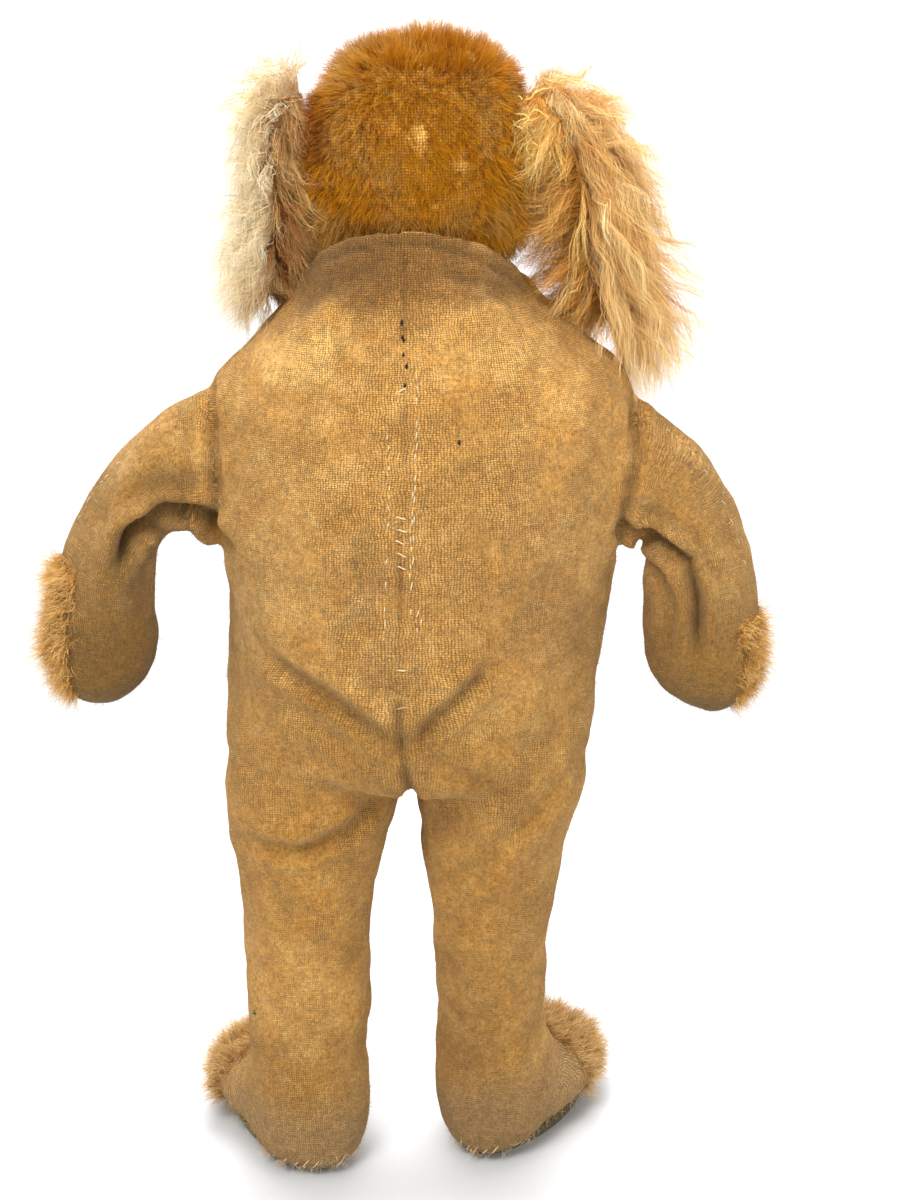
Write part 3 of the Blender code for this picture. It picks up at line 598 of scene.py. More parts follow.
# lines on the back, mm in x and z: points, depth, width, raised lip, painted shade in the dip
FOLDS = [
    ([(-0.1, 226.5), (-0.4, 213), (-0.8, 200), (-0.6, 183), (0.3, 166), (0.8, 148), (1.4, 126)], 0.8, 0.6, 0.30, 0.24),
    ([(1.5, 126), (1.4, 119), (0.2, 110), (-1.2, 100), (-1.6, 92)], 2.8, 1.5, 0.35, 0.45),
    ([(31, 134.5), (23, 129.5), (16, 125), (9, 119.5), (2.0, 114)], 2.2, 2.1, 1.1, 0.32),
    ([(27, 126), (17, 119), (8, 112.5)], 0.7, 2.6, 0.4, 0.08),
    ([(-19, 132.5), (-12, 125.5), (-7.6, 121.5), (-4.4, 118), (-1.4, 113.5)], 2.1, 1.9, 1.1, 0.32),
    ([(-14, 126), (-21, 116), (-33, 110)], 0.8, 2.6, 0.4, 0.08),
    ([(6.0, 97), (12.8, 90), (24, 86.5), (38, 87.5)], 1.6, 2.0, 0.8, 0.24),
    ([(20, 104), (9, 97), (3, 93)], 0.8, 2.2, 0.4, 0.10),
    ([(-38, 103), (-26, 94), (-17, 81), (-10, 72)], 1.2, 2.6, 0.6, 0.12),
    ([(-5, 112), (-12, 107), (-20, 105)], 0.6, 2.2, 0.4, 0.08),
    ([(40.5, 155.5), (45.3, 163.0), (53, 164.2), (61, 159), (64.5, 150)], 4.0, 1.9, 2.0, 0.60),
    ([(54, 158.5), (58, 161.0), (62.5, 158.0), (62, 152.0)], 2.5, 1.3, 1.4, 0.45),
    ([(44, 170), (54, 170.5), (63, 167.0)], 0.9, 2.2, 0.6, 0.10),
    ([(61, 176), (66, 169), (70, 160)], 0.5, 2.4, 0.4, 0.05),
    ([(-47.7, 158.8), (-54.4, 158.0), (-63.0, 152.4), (-65.2, 144), (-65.6, 130)], 3.8, 1.6, 1.9, 0.60),
    ([(-52, 163.5), (-63, 158.5), (-71, 147)], 1.1, 2.0, 0.9, 0.12),
    ([(-56.5, 152), (-60, 143), (-60, 132)], 1.0, 1.4, 0.5, 0.16),
    ([(43.6, 193), (42.9, 185), (42.4, 176), (42.0, 165), (42.0, 152)], 2.0, 1.3, 0.6, 0.42),
    ([(-52.8, 189), (-51.8, 182), (-50.6, 173), (-49.2, 164), (-47.8, 153)], 2.0, 1.3, 0.6, 0.42),
    ([(22, 217), (11, 222.6), (2, 224.6), (-6, 224.3), (-16.4, 220.6), (-27, 213.4)], 0.8, 0.8, 0.4, 0.22),
    ([(-8, 218.5), (-17, 215.4), (-26.5, 208.6)], 0.8, 1.3, 0.5, 0.16),
    ([(6, 219), (14, 215), (21, 209)], 0.6, 1.6, 0.4, 0.10),
]


def carve(points, normals):
    """Folds, seams and lumps of the worn cover. Returns the painted shade in the dips of the folds and seams at each
    point.
    """
    xz = (points - SHIFT)[:, [0, 2]] / MM
    behind = blend_in(normals[:, 1], -0.25, 0.35)
    dark = np.zeros(len(points))
    push = 0.65 * waves(points, 0.040, 3) + 0.22 * waves(points, 0.014, 4) + 0.10 * waves(points, 0.0055, 5)
    for line, depth, width, lip, shade in FOLDS:
        gap, where = near_line(xz, line)
        ends = np.minimum(1, 6 * np.minimum(where, 1 - where) + 0.25)
        dip = np.exp(-(gap / width) ** 2)
        rim = np.exp(-((gap - 1.9 * width) / (0.9 * width)) ** 2)
        push += behind * ends * (lip * rim - depth * dip)
        # painted shade in the dip of each fold and seam
        dark = np.maximum(dark, behind * ends * shade * np.exp(-(gap / (0.8 * width)) ** 2))
    points += normals * (push * MM)[:, None]
    return dark


def arc_table(a, b):
    t = np.linspace(-math.pi, math.pi, 400)
    step = np.sqrt((a * np.sin(t)) ** 2 + (b * np.cos(t)) ** 2)
    s = np.concatenate([[0], np.cumsum((step[1:] + step[:-1]) / 2) * (t[1] - t[0])])
    return t, s


def along_limb(p, rows):
    """Distance along a limb's middle line and turn about it, for points in millimetres."""
    rows = resample(rows, 40)
    line = np.stack([(rows[:, 0] + rows[:, 2]) / 2, (rows[:, 1] + rows[:, 3]) / 2], -1)
    start = np.concatenate([[0], np.cumsum(np.linalg.norm(np.diff(line, axis=0), axis=1))])
    best, far, off = np.full(len(p), 1e9), np.zeros(len(p)), np.zeros(len(p))
    xz = p[:, [0, 2]]
    for i in range(len(line) - 1):
        d = line[i + 1] - line[i]
        t = np.clip(((xz - line[i]) @ d) / (d @ d), 0, 1)
        out = xz - line[i] - t[:, None] * d
        gap = np.linalg.norm(out, axis=1)
        closer = gap < best
        best[closer] = gap[closer]
        far[closer] = (start[i] + t * np.linalg.norm(d))[closer]
        off[closer] = (out @ np.array([-d[1], d[0]]) / np.linalg.norm(d))[closer]
    return far, np.arctan2(off, p[:, 1])


def cloth_uv(made, kind):
    """Thread directions in millimetres: across and along the piece."""
    mesh = made.data
    points, _ = arrays(mesh)
    p = (points - SHIFT) / MM
    if kind == "torso":
        t, s = arc_table(44.5, 28.0)
        turn = np.arctan2(p[:, 0] / 44.5, p[:, 1] / 28.0)
        u, v, period = np.interp(turn, t, s), p[:, 2], s[-1]
    elif kind.startswith("leg"):
        side = 23.5 if kind.endswith("left") else -20.5
        turn = np.arctan2(p[:, 0] - side, p[:, 1] + 2)
        u, v, period = 15.5 * turn, p[:, 2] * 0.95 - 0.25 * p[:, 1], 31 * math.pi
    else:
        v, turn = along_limb(p, ARM_LEFT if kind.endswith("left") else ARM_RIGHT)
        u, period = 12.4 * turn, 24.8 * math.pi
    loops = np.empty(len(mesh.loops), np.int32)
    mesh.loops.foreach_get("vertex_index", loops)
    lu, lv = u[loops], v[loops]
    starts = np.empty(len(mesh.polygons), np.int32)
    mesh.polygons.foreach_get("loop_start", starts)
    totals = np.empty(len(mesh.polygons), np.int32)
    mesh.polygons.foreach_get("loop_total", totals)
    owner = np.repeat(np.arange(len(starts)), totals)
    top = np.maximum.reduceat(lu, starts)
    wraps = (top - np.minimum.reduceat(lu, starts)) > period / 2
    low = wraps[owner] & (lu < top[owner] - period / 2)
    lu = lu + low * period
    layer = mesh.uv_layers.new(name="Cloth")
    layer.data.foreach_set("uv", np.stack([lu, lv], -1).astype(np.float32).ravel())


# patches of colour: face (1 back, -1 front), middle x and z, half sizes, strength, shade. Most are stains; the pale
# patches on the shoulder tops are painted light, the brown patches round the collar painted shade under the head
STAINS_AND_PAINTED_LIGHT = [
    (1, 3, 131, 7, 9, 0.30, GREY_BROWN), (1, 8, 152, 6, 10, 0.20, GREY_BROWN),
    (1, -13, 176, 22, 14, 0.30, TAN_DARK), (1, -18, 150, 14, 12, 0.25, TAN_DARK),
    # the pale patches at x 22, z 199 and x -20, z 200 are painted light on the shoulder tops
    (1, 20, 180, 16, 8, 0.20, TAN_DARK), (1, 22, 199, 16, 6, 0.60, TAN_LIGHT * 1.25),
    (1, -20, 200, 14, 5, 0.40, TAN_LIGHT * 1.1), (1, -28, 158, 12, 22, 0.25, GREY_BROWN * 1.2),
    (1, 27, 150, 12, 22, 0.25, TAN_LIGHT), (1, 3, 123, 5, 4, 0.45, TAN_LIGHT * 1.1),
    (1, -5, 206, 4, 3, 0.5, TAN_LIGHT * 1.2), (1, 26, 100, 12, 10, 0.20, TAN_DARK),
    (1, -22, 62, 12, 20, 0.25, TAN_DARK), (1, 24, 48, 10, 16, 0.25, TAN_LIGHT),
    # the brown patches round the collar and under the chin are painted shade under the head
    (1, -2, 223, 29, 11, 0.95, BROWN * 1.75), (1, 12, 217, 13, 9, 0.80, BROWN * 1.5),
    (1, 14, 222, 12, 9, 0.85, BROWN * 1.5), (1, -14, 216, 15, 7, 0.60, BROWN * 1.8),
    (1, 1, 210, 9, 8, 0.45, BROWN * 2.1), (1, -23, 217, 7, 5, 0.6, BROWN * 1.8),
    (-1, -2, 212, 30, 7, 0.7, BROWN * 2.0),
]


def paint(points, normals, dark):
    """Base colour and wear of the flannel at each point, with painted light and shade laid into the colour."""
    p = (points - SHIFT) / MM
    x, _, z = p.T
    coarse = waves(points, 0.030, 21)
    blotch = waves(points, 0.011, 22) + 0.7 * waves(points, 0.0052, 23)
    tone = np.clip(0.5 + 0.10 * coarse + 0.12 * blotch, 0, 1)
    colour = mix(mix(TAN_DARK, TAN, np.clip(tone * 2, 0, 1)), TAN_LIGHT, np.clip(tone * 2 - 1, 0, 1))
    gold = np.clip(0.5 + 0.5 * waves(points, 0.006, 24) + 0.2 * coarse, 0, 1) * 0.4
    colour = mix(colour, OCHRE, gold)
    # painted light and shade: the right half, the middle of the back, the shins and most of all the shoulders are
    # painted lighter, the arms darker
    right_half = blend_in(-x, 0, 25) * (z > 120)
    centre = blend_in(-np.abs(x), -14, -3) * (z > 125)
    shins = blend_in(z, 30, 60) * blend_in(-z, -90, -60)
    shoulders = blend_in(z, 140, 198)
    arms = blend_in(np.abs(x + 3.5), 47, 52) * (z > 114)
    lit = 0.80 + 0.07 * right_half + 0.07 * centre + 0.06 * shins + 0.30 * shoulders
    lit -= (0.13 + 0.05 * (x > 0) + 0.12 * blend_in(z, 158, 175)) * arms
    colour = colour * lit[:, None] * mix(np.ones(3), LOW_CLOTH_TINT, blend_in(-z, -150, -100))
    for k, (face, cx, cz, rx, rz, strength, shade) in enumerate(STAINS_AND_PAINTED_LIGHT):
        far = np.sqrt(((x - cx) / rx) ** 2 + ((z - cz) / rz) ** 2) + 0.22 * waves(points, 0.010, 200 + k)
        amount = strength * blend_in(-far, -1.3, -0.35) * blend_in(normals[:, 1] * face, -0.3, 0.3)
        colour = mix(colour, shade, amount)
    hands = np.maximum((x > 52) * blend_in(-z, -156, -128), (x < -52) * blend_in(-z, -154, -122))
    colour = mix(colour, np.where((x > 0)[:, None], HAND_LEFT_TAN, HAND_RIGHT_TAN), 0.90 * hands)
    palm = np.maximum((x > 52) * blend_in(-z, -127, -119), (x < -50) * blend_in(-z, -124, -116))
    colour = mix(colour, PALM_BROWN, 0.80 * palm)
    colour = mix(colour, GREY_BROWN * 1.25, 0.80 * blend_in(-z + 2.5 * coarse, -28, -11))
    colour = mix(colour, HEEL_EDGE, 0.6 * blend_in(-z, -4.5, -2.2))
    # painted shade: flannel facing down towards the floor is darkened
    low = blend_in(-normals[:, 2], 0.0, 0.8) * (z > 30)
    colour = colour * (1 - 0.12 * low)[:, None]
    middle = blend_in(-np.abs(x - 0.5), -20, -4) * (z > 118) * (z < 200)
    worn = 0.48 + 0.22 * middle + 0.16 * waves(points, 0.022, 31)
    worn += 0.30 * blend_in(-z, -30, -10) + 0.35 * blend_in(z, 198, 214)
    worn -= 0.14 * blend_in(-z, -112, -92) * (z > 36)
    return np.clip(colour * (1 - dark)[:, None], 0.01, 0.9), np.clip(worn, 0, 1)


def body_label(p):
    """0 torso, 1 and 2 the arms, 3 and 4 the legs."""
    q = (p - SHIFT) / MM
    x, z = q[:, 0], q[:, 2]
    label = np.zeros(len(q), int)
    high = z > 114
    label[(x > 43.4 - (190 - z) * 0.02) & high & (z < 196)] = 1
    label[(x < -51.6 + (190 - z) * 0.10) & high & (z < 194)] = 2
    groin = 98 + np.abs(x) * 0.52
    label[(z < groin) & (x >= 0) & (label == 0)] = 3
    label[(z < groin) & (x < 0) & (label == 0)] = 4
    return label


def cut_out(whole, name, labels, label):
    """One piece of the skin. It meets its neighbours edge to edge and keeps the whole skin's normals."""
    shape = bmesh.new()
    shape.from_mesh(whole.data)
    bmesh.ops.delete(shape, geom=[f for f in shape.faces if labels[f.index] != label], context="FACES")
    mesh = bpy.data.meshes.new(name)
    shape.to_mesh(mesh)
    shape.free()
    made = bpy.data.objects.new(name, mesh)
    bpy.context.scene.collection.objects.link(made)
    facing = np.empty(len(mesh.vertices) * 3, np.float32)
    mesh.attributes["Facing"].data.foreach_get("vector", facing)
    mesh.attributes.remove(mesh.attributes["Facing"])
    mesh.normals_split_custom_set_from_vertices([tuple(v) for v in facing.reshape(-1, 3)])
    return made


flannel = cloth_material("worn flannel")
nap_material = hair_material("flannel nap", 0.85, 0.08)
pile_material = hair_material("mohair pile", 0.6, 0.03, 0.06)
long_material = hair_material("long ear mohair", 0.5, 0.08, 0.22)

body = bmesh.new()
torso_tube(body)
limb_tube(body, ARM_LEFT, 60, ARM_TIPS["left"])
limb_tube(body, ARM_RIGHT, 60, ARM_TIPS["right"])
leg_tube(body, LEG_LEFT, "left")
leg_tube(body, LEG_RIGHT, "right")
skin = one_skin("skin", body, VOXEL, 10)
skin_points, skin_normals = arrays(skin.data)
crease_shade = carve(skin_points, skin_normals)
skin_points, skin_normals = moved(skin, skin_points)
skin_colour, skin_worn = paint(skin_points, skin_normals, crease_shade)
skin_faces = triangles(skin.data)
skin_tree = BVHTree.FromPolygons([Vector(p) for p in skin_points], [tuple(f) for f in skin_faces])
point_attribute(skin.data, "Tint", skin_colour)
point_attribute(skin.data, "Worn", skin_worn)
skin.data.attributes.new("Facing", "FLOAT_VECTOR", "POINT").data.foreach_set(
    "vector", skin_normals.astype(np.float32).ravel())

BODY_NAMES = ["body_cover", "arm_left_skin", "arm_right_skin", "leg_left_skin", "leg_right_skin"]
KINDS = ["torso", "arm_left", "arm_right", "leg_left", "leg_right"]
COVERED = {
    "body_cover": ["torso_back_left", "torso_back_right", "torso_front", "torso_stuffing", "neck_disc_lower",
                   "neck_washer_lower", "neck_pin"],
    "arm_left_skin": ["arm_left_cover", "arm_left_stuffing"],
    "arm_right_skin": ["arm_right_cover", "arm_right_stuffing"],
    "leg_left_skin": ["leg_left_cover", "leg_left_stuffing", "foot_left_stuffing"],
    "leg_right_skin": ["leg_right_cover", "leg_right_stuffing", "foot_right_stuffing"],
}


def attach(obj, label):
    """Ride the torso, or else stay in place with the placement baked into the points."""
    if label == 0:
        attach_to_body(obj, "torso")
        return
    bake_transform(obj)


corners = np.empty(len(skin.data.loops), np.int32)
skin.data.loops.foreach_get("vertex_index", corners)
face_labels = body_label(skin_points[corners.reshape(-1, 4)].mean(1))
for k, name in enumerate(BODY_NAMES):
    piece = cut_out(skin, name, face_labels, k)
    cloth_uv(piece, KINDS[k])
    piece.data.materials.append(flannel)
    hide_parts(*COVERED[name])
    attach(piece, k)
bpy.data.objects.remove(skin)


def body_nap():
    """Short fibres raised all over the flannel."""
    rng = np.random.default_rng(SEED)
    keep = 1.0 - 0.5 * skin_worn
    q = (skin_points - SHIFT) / MM
    keep = keep * np.where(q[:, 2] < 2.5, 0.0, 1.0)
    inside = (np.hypot(q[:, 0] - NECK_X, q[:, 1]) < 25.0) & (q[:, 2] > 206)
    keep = np.where(inside, 0.0, keep)
    roots, facing = scatter(skin_points, skin_normals, skin_faces, 0.92, rng, keep)
    n = len(roots)
    comb = np.array([0.0, 0.0, -0.6])
    start = unit(facing * 0.34 + comb + rng.normal(size=(n, 3)) * 0.55)
    lines = curves(roots - facing * 0.0001, start, rng.uniform(0.6, 1.5, n) * MM, 2, rng, rng.normal(size=(n, 3)) * 0.5)
    near = np.array([skin_tree.find_nearest(Vector(p))[2] for p in roots])
    base = skin_colour[skin_faces[near, 0]]
    tone = rng.random(n)
    pale = mix(base * (0.60 + 0.7 * tone)[:, None], TAN_LIGHT * 1.25, 0.45 * blend_in(tone, 0.6, 1.0))
    label = body_label(roots)
    for k, name in enumerate(BODY_NAMES):
        pick = label == k
        obj = ribbon_object(name + "_nap", lines[pick], rng.uniform(0.05, 0.09, pick.sum()) * MM,
                            base[pick] * 0.9, pale[pick], rng, nap_material)
        attach(obj, k)


body_nap()

# ---------------------------------------------------------------- head

HEAD = [
    (22.6, 238.4, 8.6, 9.0), (18.6, 238.6, 15.4, 16.0), (12.0, 239.0, 21.0, 21.6),
    (4.0, 239.2, 24.0, 24.8), (-4.0, 239.2, 24.3, 24.8), (-12.0, 239.0, 22.4, 22.8),
    (-20.0, 238.0, 18.6, 19.2), (-28.0, 235.0, 14.6, 15.0), (-37.0, 231.4, 12.4, 12.0),
    (-46.0, 229.6, 11.2, 10.4), (-52.5, 229.0, 8.2, 7.6),
]
CHEEK = [(9, -14, 231, 10.5), (8, -28, 227, 8.5), (5, -46, 225.5, 6.5)]
GOLD = np.array([0.470, 0.184, 0.0035])
AMBER = np.array([0.315, 0.103, 0.0022])
GOLD_TIP = np.array([0.640, 0.300, 0.0160])
CROWN_TIP = np.array([0.760, 0.500, 0.160])
DUST = np.array([0.490, 0.285, 0.085])
RUST = np.array([0.150, 0.035, 0.0030])
BACKING = np.array([0.640, 0.330, 0.060])


def head_shape():
    shape = bmesh.new()
    rows = resample(HEAD, 44)
    n = len(rows)
    none = np.zeros(n)
    tube(shape, oval_rims(at(np.stack([np.full(n, NECK_X), rows[:, 0], rows[:, 1]], -1)),
                          np.stack([none, none, rows[:, 3]], -1) * MM,
                          np.stack([rows[:, 2], none, none], -1) * MM, power=0.82),
         (at((NECK_X, 24.0, 238.4)), at((NECK_X, -55.2, 228.8))))
    for side in (-1, 1):
        line = resample([(NECK_X + side * x, y, z, r) for x, y, z, r in CHEEK], 14)
        tube(shape, oval_rims(at(line[:, :3]), np.outer(line[:, 3], [0, 0, 1]) * MM,
                              np.outer(line[:, 3], [1, 0, 0]) * MM, 24))
    return one_skin("head_skin", shape, 0.0012, 12)


head = head_shape()
head_points, head_normals = arrays(head.data)
head_points, head_normals = moved(
    head, head_points + head_normals * (0.5 * waves(head_points, 0.020, 41) * MM)[:, None])
# the back of the crown leans to the right
lean = head_points.copy()
crown_share = blend_in((head_points - SHIFT)[:, 2] / MM, 236, 262) * blend_in(head_normals[:, 1], -0.9, -0.2)
lean[:, 0] -= 2.4 * MM * crown_share
head_points, head_normals = moved(head, lean)
head_faces = triangles(head.data)
# worn spots: middle x and z, half sizes, how bare
BALD = [(-3.9, 245.4, 1.6, 2.4, 1.0), (-12.2, 240.4, 1.8, 1.3, 1.0), (4.7, 237.1, 1.0, 0.9, 0.7),
        (-14.0, 262.6, 1.2, 1.2, 0.9), (-1.5, 246.0, 0.8, 1.0, 0.7), (-10.5, 261.8, 1.0, 0.8, 0.8),
        (-7.0, 232.0, 1.4, 0.8, 0.6)]


def bald_amount(points, normals):
    q = (points - SHIFT) / MM
    amount = np.zeros(len(q))
    for cx, cz, rx, rz, most in BALD:
        far = np.hypot((q[:, 0] - cx) / rx, (q[:, 2] - cz) / rz) + 0.25 * waves(points, 0.003, int(cz))
        amount = np.maximum(amount, most * blend_in(-far, -1.5, -0.7) * (normals[:, 1] > 0.1))
    return amount


point_attribute(head.data, "Tint", mix(GOLD * 0.7, BACKING, bald_amount(head_points, head_normals)))
point_attribute(head.data, "Worn", np.full(len(head_points), 0.7))
corners = np.empty(len(head.data.loops), np.int32)
head.data.loops.foreach_get("vertex_index", corners)
layer = head.data.uv_layers.new(name="Cloth")
layer.data.foreach_set("uv", ((head_points - SHIFT) / MM)[corners][:, [0, 2]].astype(np.float32).ravel())
head.data.materials.append(cloth_material("mohair backing", 0.6, 0.8, 2.2))
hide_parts("head_cover_left", "head_cover_right", "head_stuffing", "neck_disc_upper", "neck_washer_upper")
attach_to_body(head, "head")


def crown_dust(rq):
    """Dusty band across the top of the head."""
    return blend_in(-np.abs(rq[:, 2] - 257), -10, -3) * blend_in(rq[:, 1], -14, 0)


def head_pile():
    """Short dense mohair in little tufts."""
    rng = np.random.default_rng(SEED + 1)
    q = (head_points - SHIFT) / MM
    keep = (1 - 0.95 * bald_amount(head_points, head_normals))
    keep = keep * np.where(q[:, 2] < 217, 0.0, 1.0) * np.where(q[:, 1] < -51, 0.25, 1.0)
    roots, facing = scatter(head_points, head_normals, head_faces, 1.32, rng, keep)
    q = (roots - SHIFT) / MM
    muzzle = blend_in(-q[:, 1], 20, 34)
    crown = blend_in(q[:, 2], 251, 262)
    side = np.clip((q[:, 0] - NECK_X) / 25, -1, 1)
    swirl = waves(roots, 0.014, 47)
    comb = np.stack([side * 0.35 + 0.35 * swirl, -0.25 + 0.6 * muzzle, -1.0 + 0.85 * crown], -1)
    comb -= (comb * facing).sum(1, keepdims=True) * facing
    low_side = blend_in(np.abs(q[:, 0] - NECK_X), 10, 21) * blend_in(-q[:, 2], -250, -232) * blend_in(q[:, 1], -22, -12)
    length = (2.8 - 0.9 * muzzle + 0.5 * waves(roots, 0.010, 42) + 2.6 * crown + 3.6 * low_side) * MM
    comb += low_side[:, None] * facing * 0.5
    length += 2.2 * MM * blend_in(q[:, 0], 10, 20) * blend_in(q[:, 2], 240, 250) * blend_in(q[:, 1], -8, 2)
    n = len(roots)
    start = unit(facing * (0.85 + 0.6 * crown)[:, None] + comb * (0.80 - 0.45 * crown)[:, None])
    guides = curves(roots, start, length, 4, rng, comb * 0.20, 1.0, 0.20 * MM, 1.2, 0.24)
    lines, guide = children(guides, 6, 0.60 * MM, 0.15, rng, 0.35, 0.45 * MM, facing)
    rq = (lines[:, 0] - SHIFT) / MM
    m = len(lines)
    patch = waves(lines[:, 0], 0.016, 43) + 0.6 * waves(lines[:, 0], 0.006, 44)
    tuft = rng.normal(size=n)[guide]
    low = blend_in(-rq[:, 2], -236, -222)
    # the roots are painted darker than the tips, partly as painted shade down between the tufts
    root = mix(AMBER * 0.8, GOLD * 0.8, np.clip(0.4 + 0.3 * patch, 0, 1))
    dust = 0.08 + 0.60 * waves(lines[:, 0], 0.014, 45) + 0.30 * waves(lines[:, 0], 0.004, 49)
    grey = np.clip(dust + 0.34 * low + 0.22 * crown_dust(rq) + 0.10 * tuft, 0, 0.85)
    middle = mix(mix(AMBER * 1.3, GOLD * 1.1, np.clip(0.55 + 0.3 * patch + 0.15 * tuft, 0, 1)), DUST * 0.75, grey * 0.7)
    high = 0.70 * blend_in(rq[:, 2] + 3.0 * patch, 257, 270)
    tip = mix(mix(GOLD * 1.25, GOLD_TIP, np.clip(0.30 + 0.25 * patch + 0.25 * tuft, 0, 1)), DUST, grey)
    tip = mix(tip, CROWN_TIP, 0.92 * high)
    middle = mix(middle, GOLD_TIP, 0.35 * high)
    left_root = blend_in(-np.hypot((rq[:, 0] - 18.0) / 4.5, (rq[:, 2] - 247.5) / 7.5), -1.2, -0.5) * 0.8
    # painted shade: the lowest band of the pile, where the head meets the collar, is darkened towards rust
    neck_shade = blend_in(-rq[:, 2], -225, -218) * 0.55
    for amount in (left_root, neck_shade):
        root, middle, tip = (mix(c, RUST * k, amount) for c, k in ((root, 0.8), (middle, 1.2), (tip, 1.9)))
    shine = rng.uniform(0.72, 1.25, (m, 1))
    width = rng.uniform(0.075, 0.13, m) * MM
    for k in range(4):
        pick = (rq[:, 0] > NECK_X) == (k % 2 == 0)
        pick = pick & ((rq[:, 1] > -2) == (k < 2))
        name = "head_pile_" + ("left", "right")[k % 2] + ("_back", "_front")[k // 2]
        obj = ribbon_object(name, lines[pick], width[pick], root[pick] * shine[pick],
                            tip[pick] * shine[pick], rng, pile_material, middle[pick] * shine[pick])
        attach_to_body(obj, "head")


head_pile()

# ---------------------------------------------------------------- ears

EARS = {
    "left": [(22.6, 253.4, -3.0, 8.0), (26.4, 252.6, -3.5, 10.0), (29.2, 247.4, -4.0, 12.6), (30.4, 239.4, -5.0, 14.6),
             (31.0, 229.6, -6.0, 14.8), (31.0, 219.6, -7.0, 12.0), (30.4, 211.0, -8.0, 6.0)],
    "right": [(-26.8, 253.4, -3.0, 8.0), (-31.6, 252.6, -3.5, 10.0), (-37.2, 248.0, -4.5, 12.6), (-41.8, 239.0, -6.0, 15.0),
              (-44.6, 227.6, -8.0, 15.6), (-46.0, 216.0, -10.0, 12.6), (-46.4, 205.6, -12.0, 6.0)],
}
TURNED = {"left": 0.25, "right": 0.40}
DOWN, ACROSS = 34, 22


def ear_sheet(side):
    """Middle surface of an ear: rows down it, columns from its front edge to its back edge."""
    rows = resample(EARS[side], DOWN)
    sign = 1.0 if side == "left" else -1.0
    across = np.linspace(-1, 1, ACROSS)
    grid = np.empty((DOWN, ACROSS, 3))
    for i, (x, z, y, half) in enumerate(rows):
        off = half * across
        turn = TURNED[side] * min(1.0, 1.6 * i / DOWN)
        grid[i] = np.stack([x - sign * turn * off + sign * 1.2 * (1 - across ** 2), y + off, np.full(ACROSS, z)], -1)
    rough = 0.7 * waves(at(grid.reshape(-1, 3)), 0.016, 51).reshape(DOWN, ACROSS)
    grid[:, :, 0] += rough * np.linspace(0, 1, DOWN)[:, None]
    return at(grid)


def grid_normals(grid):
    return unit(np.cross(np.gradient(grid, axis=0), np.gradient(grid, axis=1)))


def ear_flap(name, grid, material):
    """A cloth flap: a flat grid bent to the ear's surface and given its thickness."""
    shape = bmesh.new()
    bmesh.ops.create_grid(shape, x_segments=ACROSS - 1, y_segments=DOWN - 1, size=1.0)
    for vert in shape.verts:
        i = int(round((vert.co.y + 1) / 2 * (DOWN - 1)))
        j = int(round((vert.co.x + 1) / 2 * (ACROSS - 1)))
        vert.co = grid[i, j]
    bmesh.ops.solidify(shape, geom=shape.faces[:], thickness=1.5 * MM)
    return placed(name, shape, material)


# dark, middle and pale hair of each band of locks
EAR_COLOURS = {
    "cream": np.array([(0.600, 0.390, 0.160), (0.920, 0.710, 0.410), (0.980, 0.880, 0.640)]),
    "taupe": np.array([(0.180, 0.064, 0.009), (0.490, 0.250, 0.066), (0.780, 0.500, 0.200)]),
    "honey": np.array([(0.420, 0.180, 0.030), (0.860, 0.480, 0.135), (0.980, 0.760, 0.380)]),
    "amber": np.array([(0.500, 0.175, 0.010), (0.950, 0.480, 0.080), (0.990, 0.740, 0.290)]),
}
# band, hair, how far across the ear the locks start (0 front, 1 back), locks, hairs in each, shortest and longest,
# outward, backward, down, fall, wave, gather
EAR_LOCKS = {
    "left": [("outside", "cream", 0.15, 0.85, 100, 13, 10.0, 19.0, 0.85, 0.05, 0.70, 0.14, 2.8, -0.10),
             ("outer_back", "cream", 0.40, 1.00, 85, 14, 9.0, 15.0, 0.62, 0.30, 0.70, 0.12, 1.8, -0.25),
             ("top_wisps", "cream", 0.20, 0.90, 55, 11, 18.0, 23.0, 1.20, 0.30, 0.30, 0.42, 3.4, -0.20),
             ("back_edge", "taupe", 0.66, 1.00, 420, 22, 12.0, 16.0, -1.15, 0.70, 0.60, 0.12, 1.4, -0.40),
             ("edge_wisps", "cream", 0.70, 1.00, 110, 12, 9.0, 15.0, 0.55, 0.35, 0.60, 0.10, 2.0, 0.00),
             ("root", "taupe", 0.20, 1.00, 210, 22, 9.0, 13.5, -1.25, 0.80, 0.20, 0.22, 1.2, -0.35),
             ("front", "cream", 0.00, 0.50, 120, 16, 8.0, 14.0, 0.55, -0.45, 0.80, 0.20, 1.0, -0.10),
             ("inside", "taupe", 0.00, 1.00, 150, 20, 6.0, 9.0, -0.90, 0.20, 0.70, 0.20, 0.6, -0.10)],
    "right": [("outside", "honey", 0.20, 1.00, 340, 25, 11.0, 36.0, 0.58, 0.30, 0.85, 0.20, 2.2, -0.50),
              ("back_edge", "amber", 0.70, 1.00, 380, 24, 14.0, 20.0, -1.15, 0.60, 0.50, 0.13, 1.8, -0.45),
              ("root", "amber", 0.30, 1.00, 170, 24, 10.0, 15.0, -0.95, 0.60, 0.15, 0.16, 1.2, -0.35),
              ("front", "honey", 0.00, 0.45, 150, 22, 9.0, 16.0, 0.55, -0.40, 0.80, 0.26, 1.2, -0.30),
              ("inside", "amber", 0.00, 1.00, 220, 22, 11.0, 16.0, -1.10, 0.15, 0.60, 0.18, 1.0, -0.30)],
}


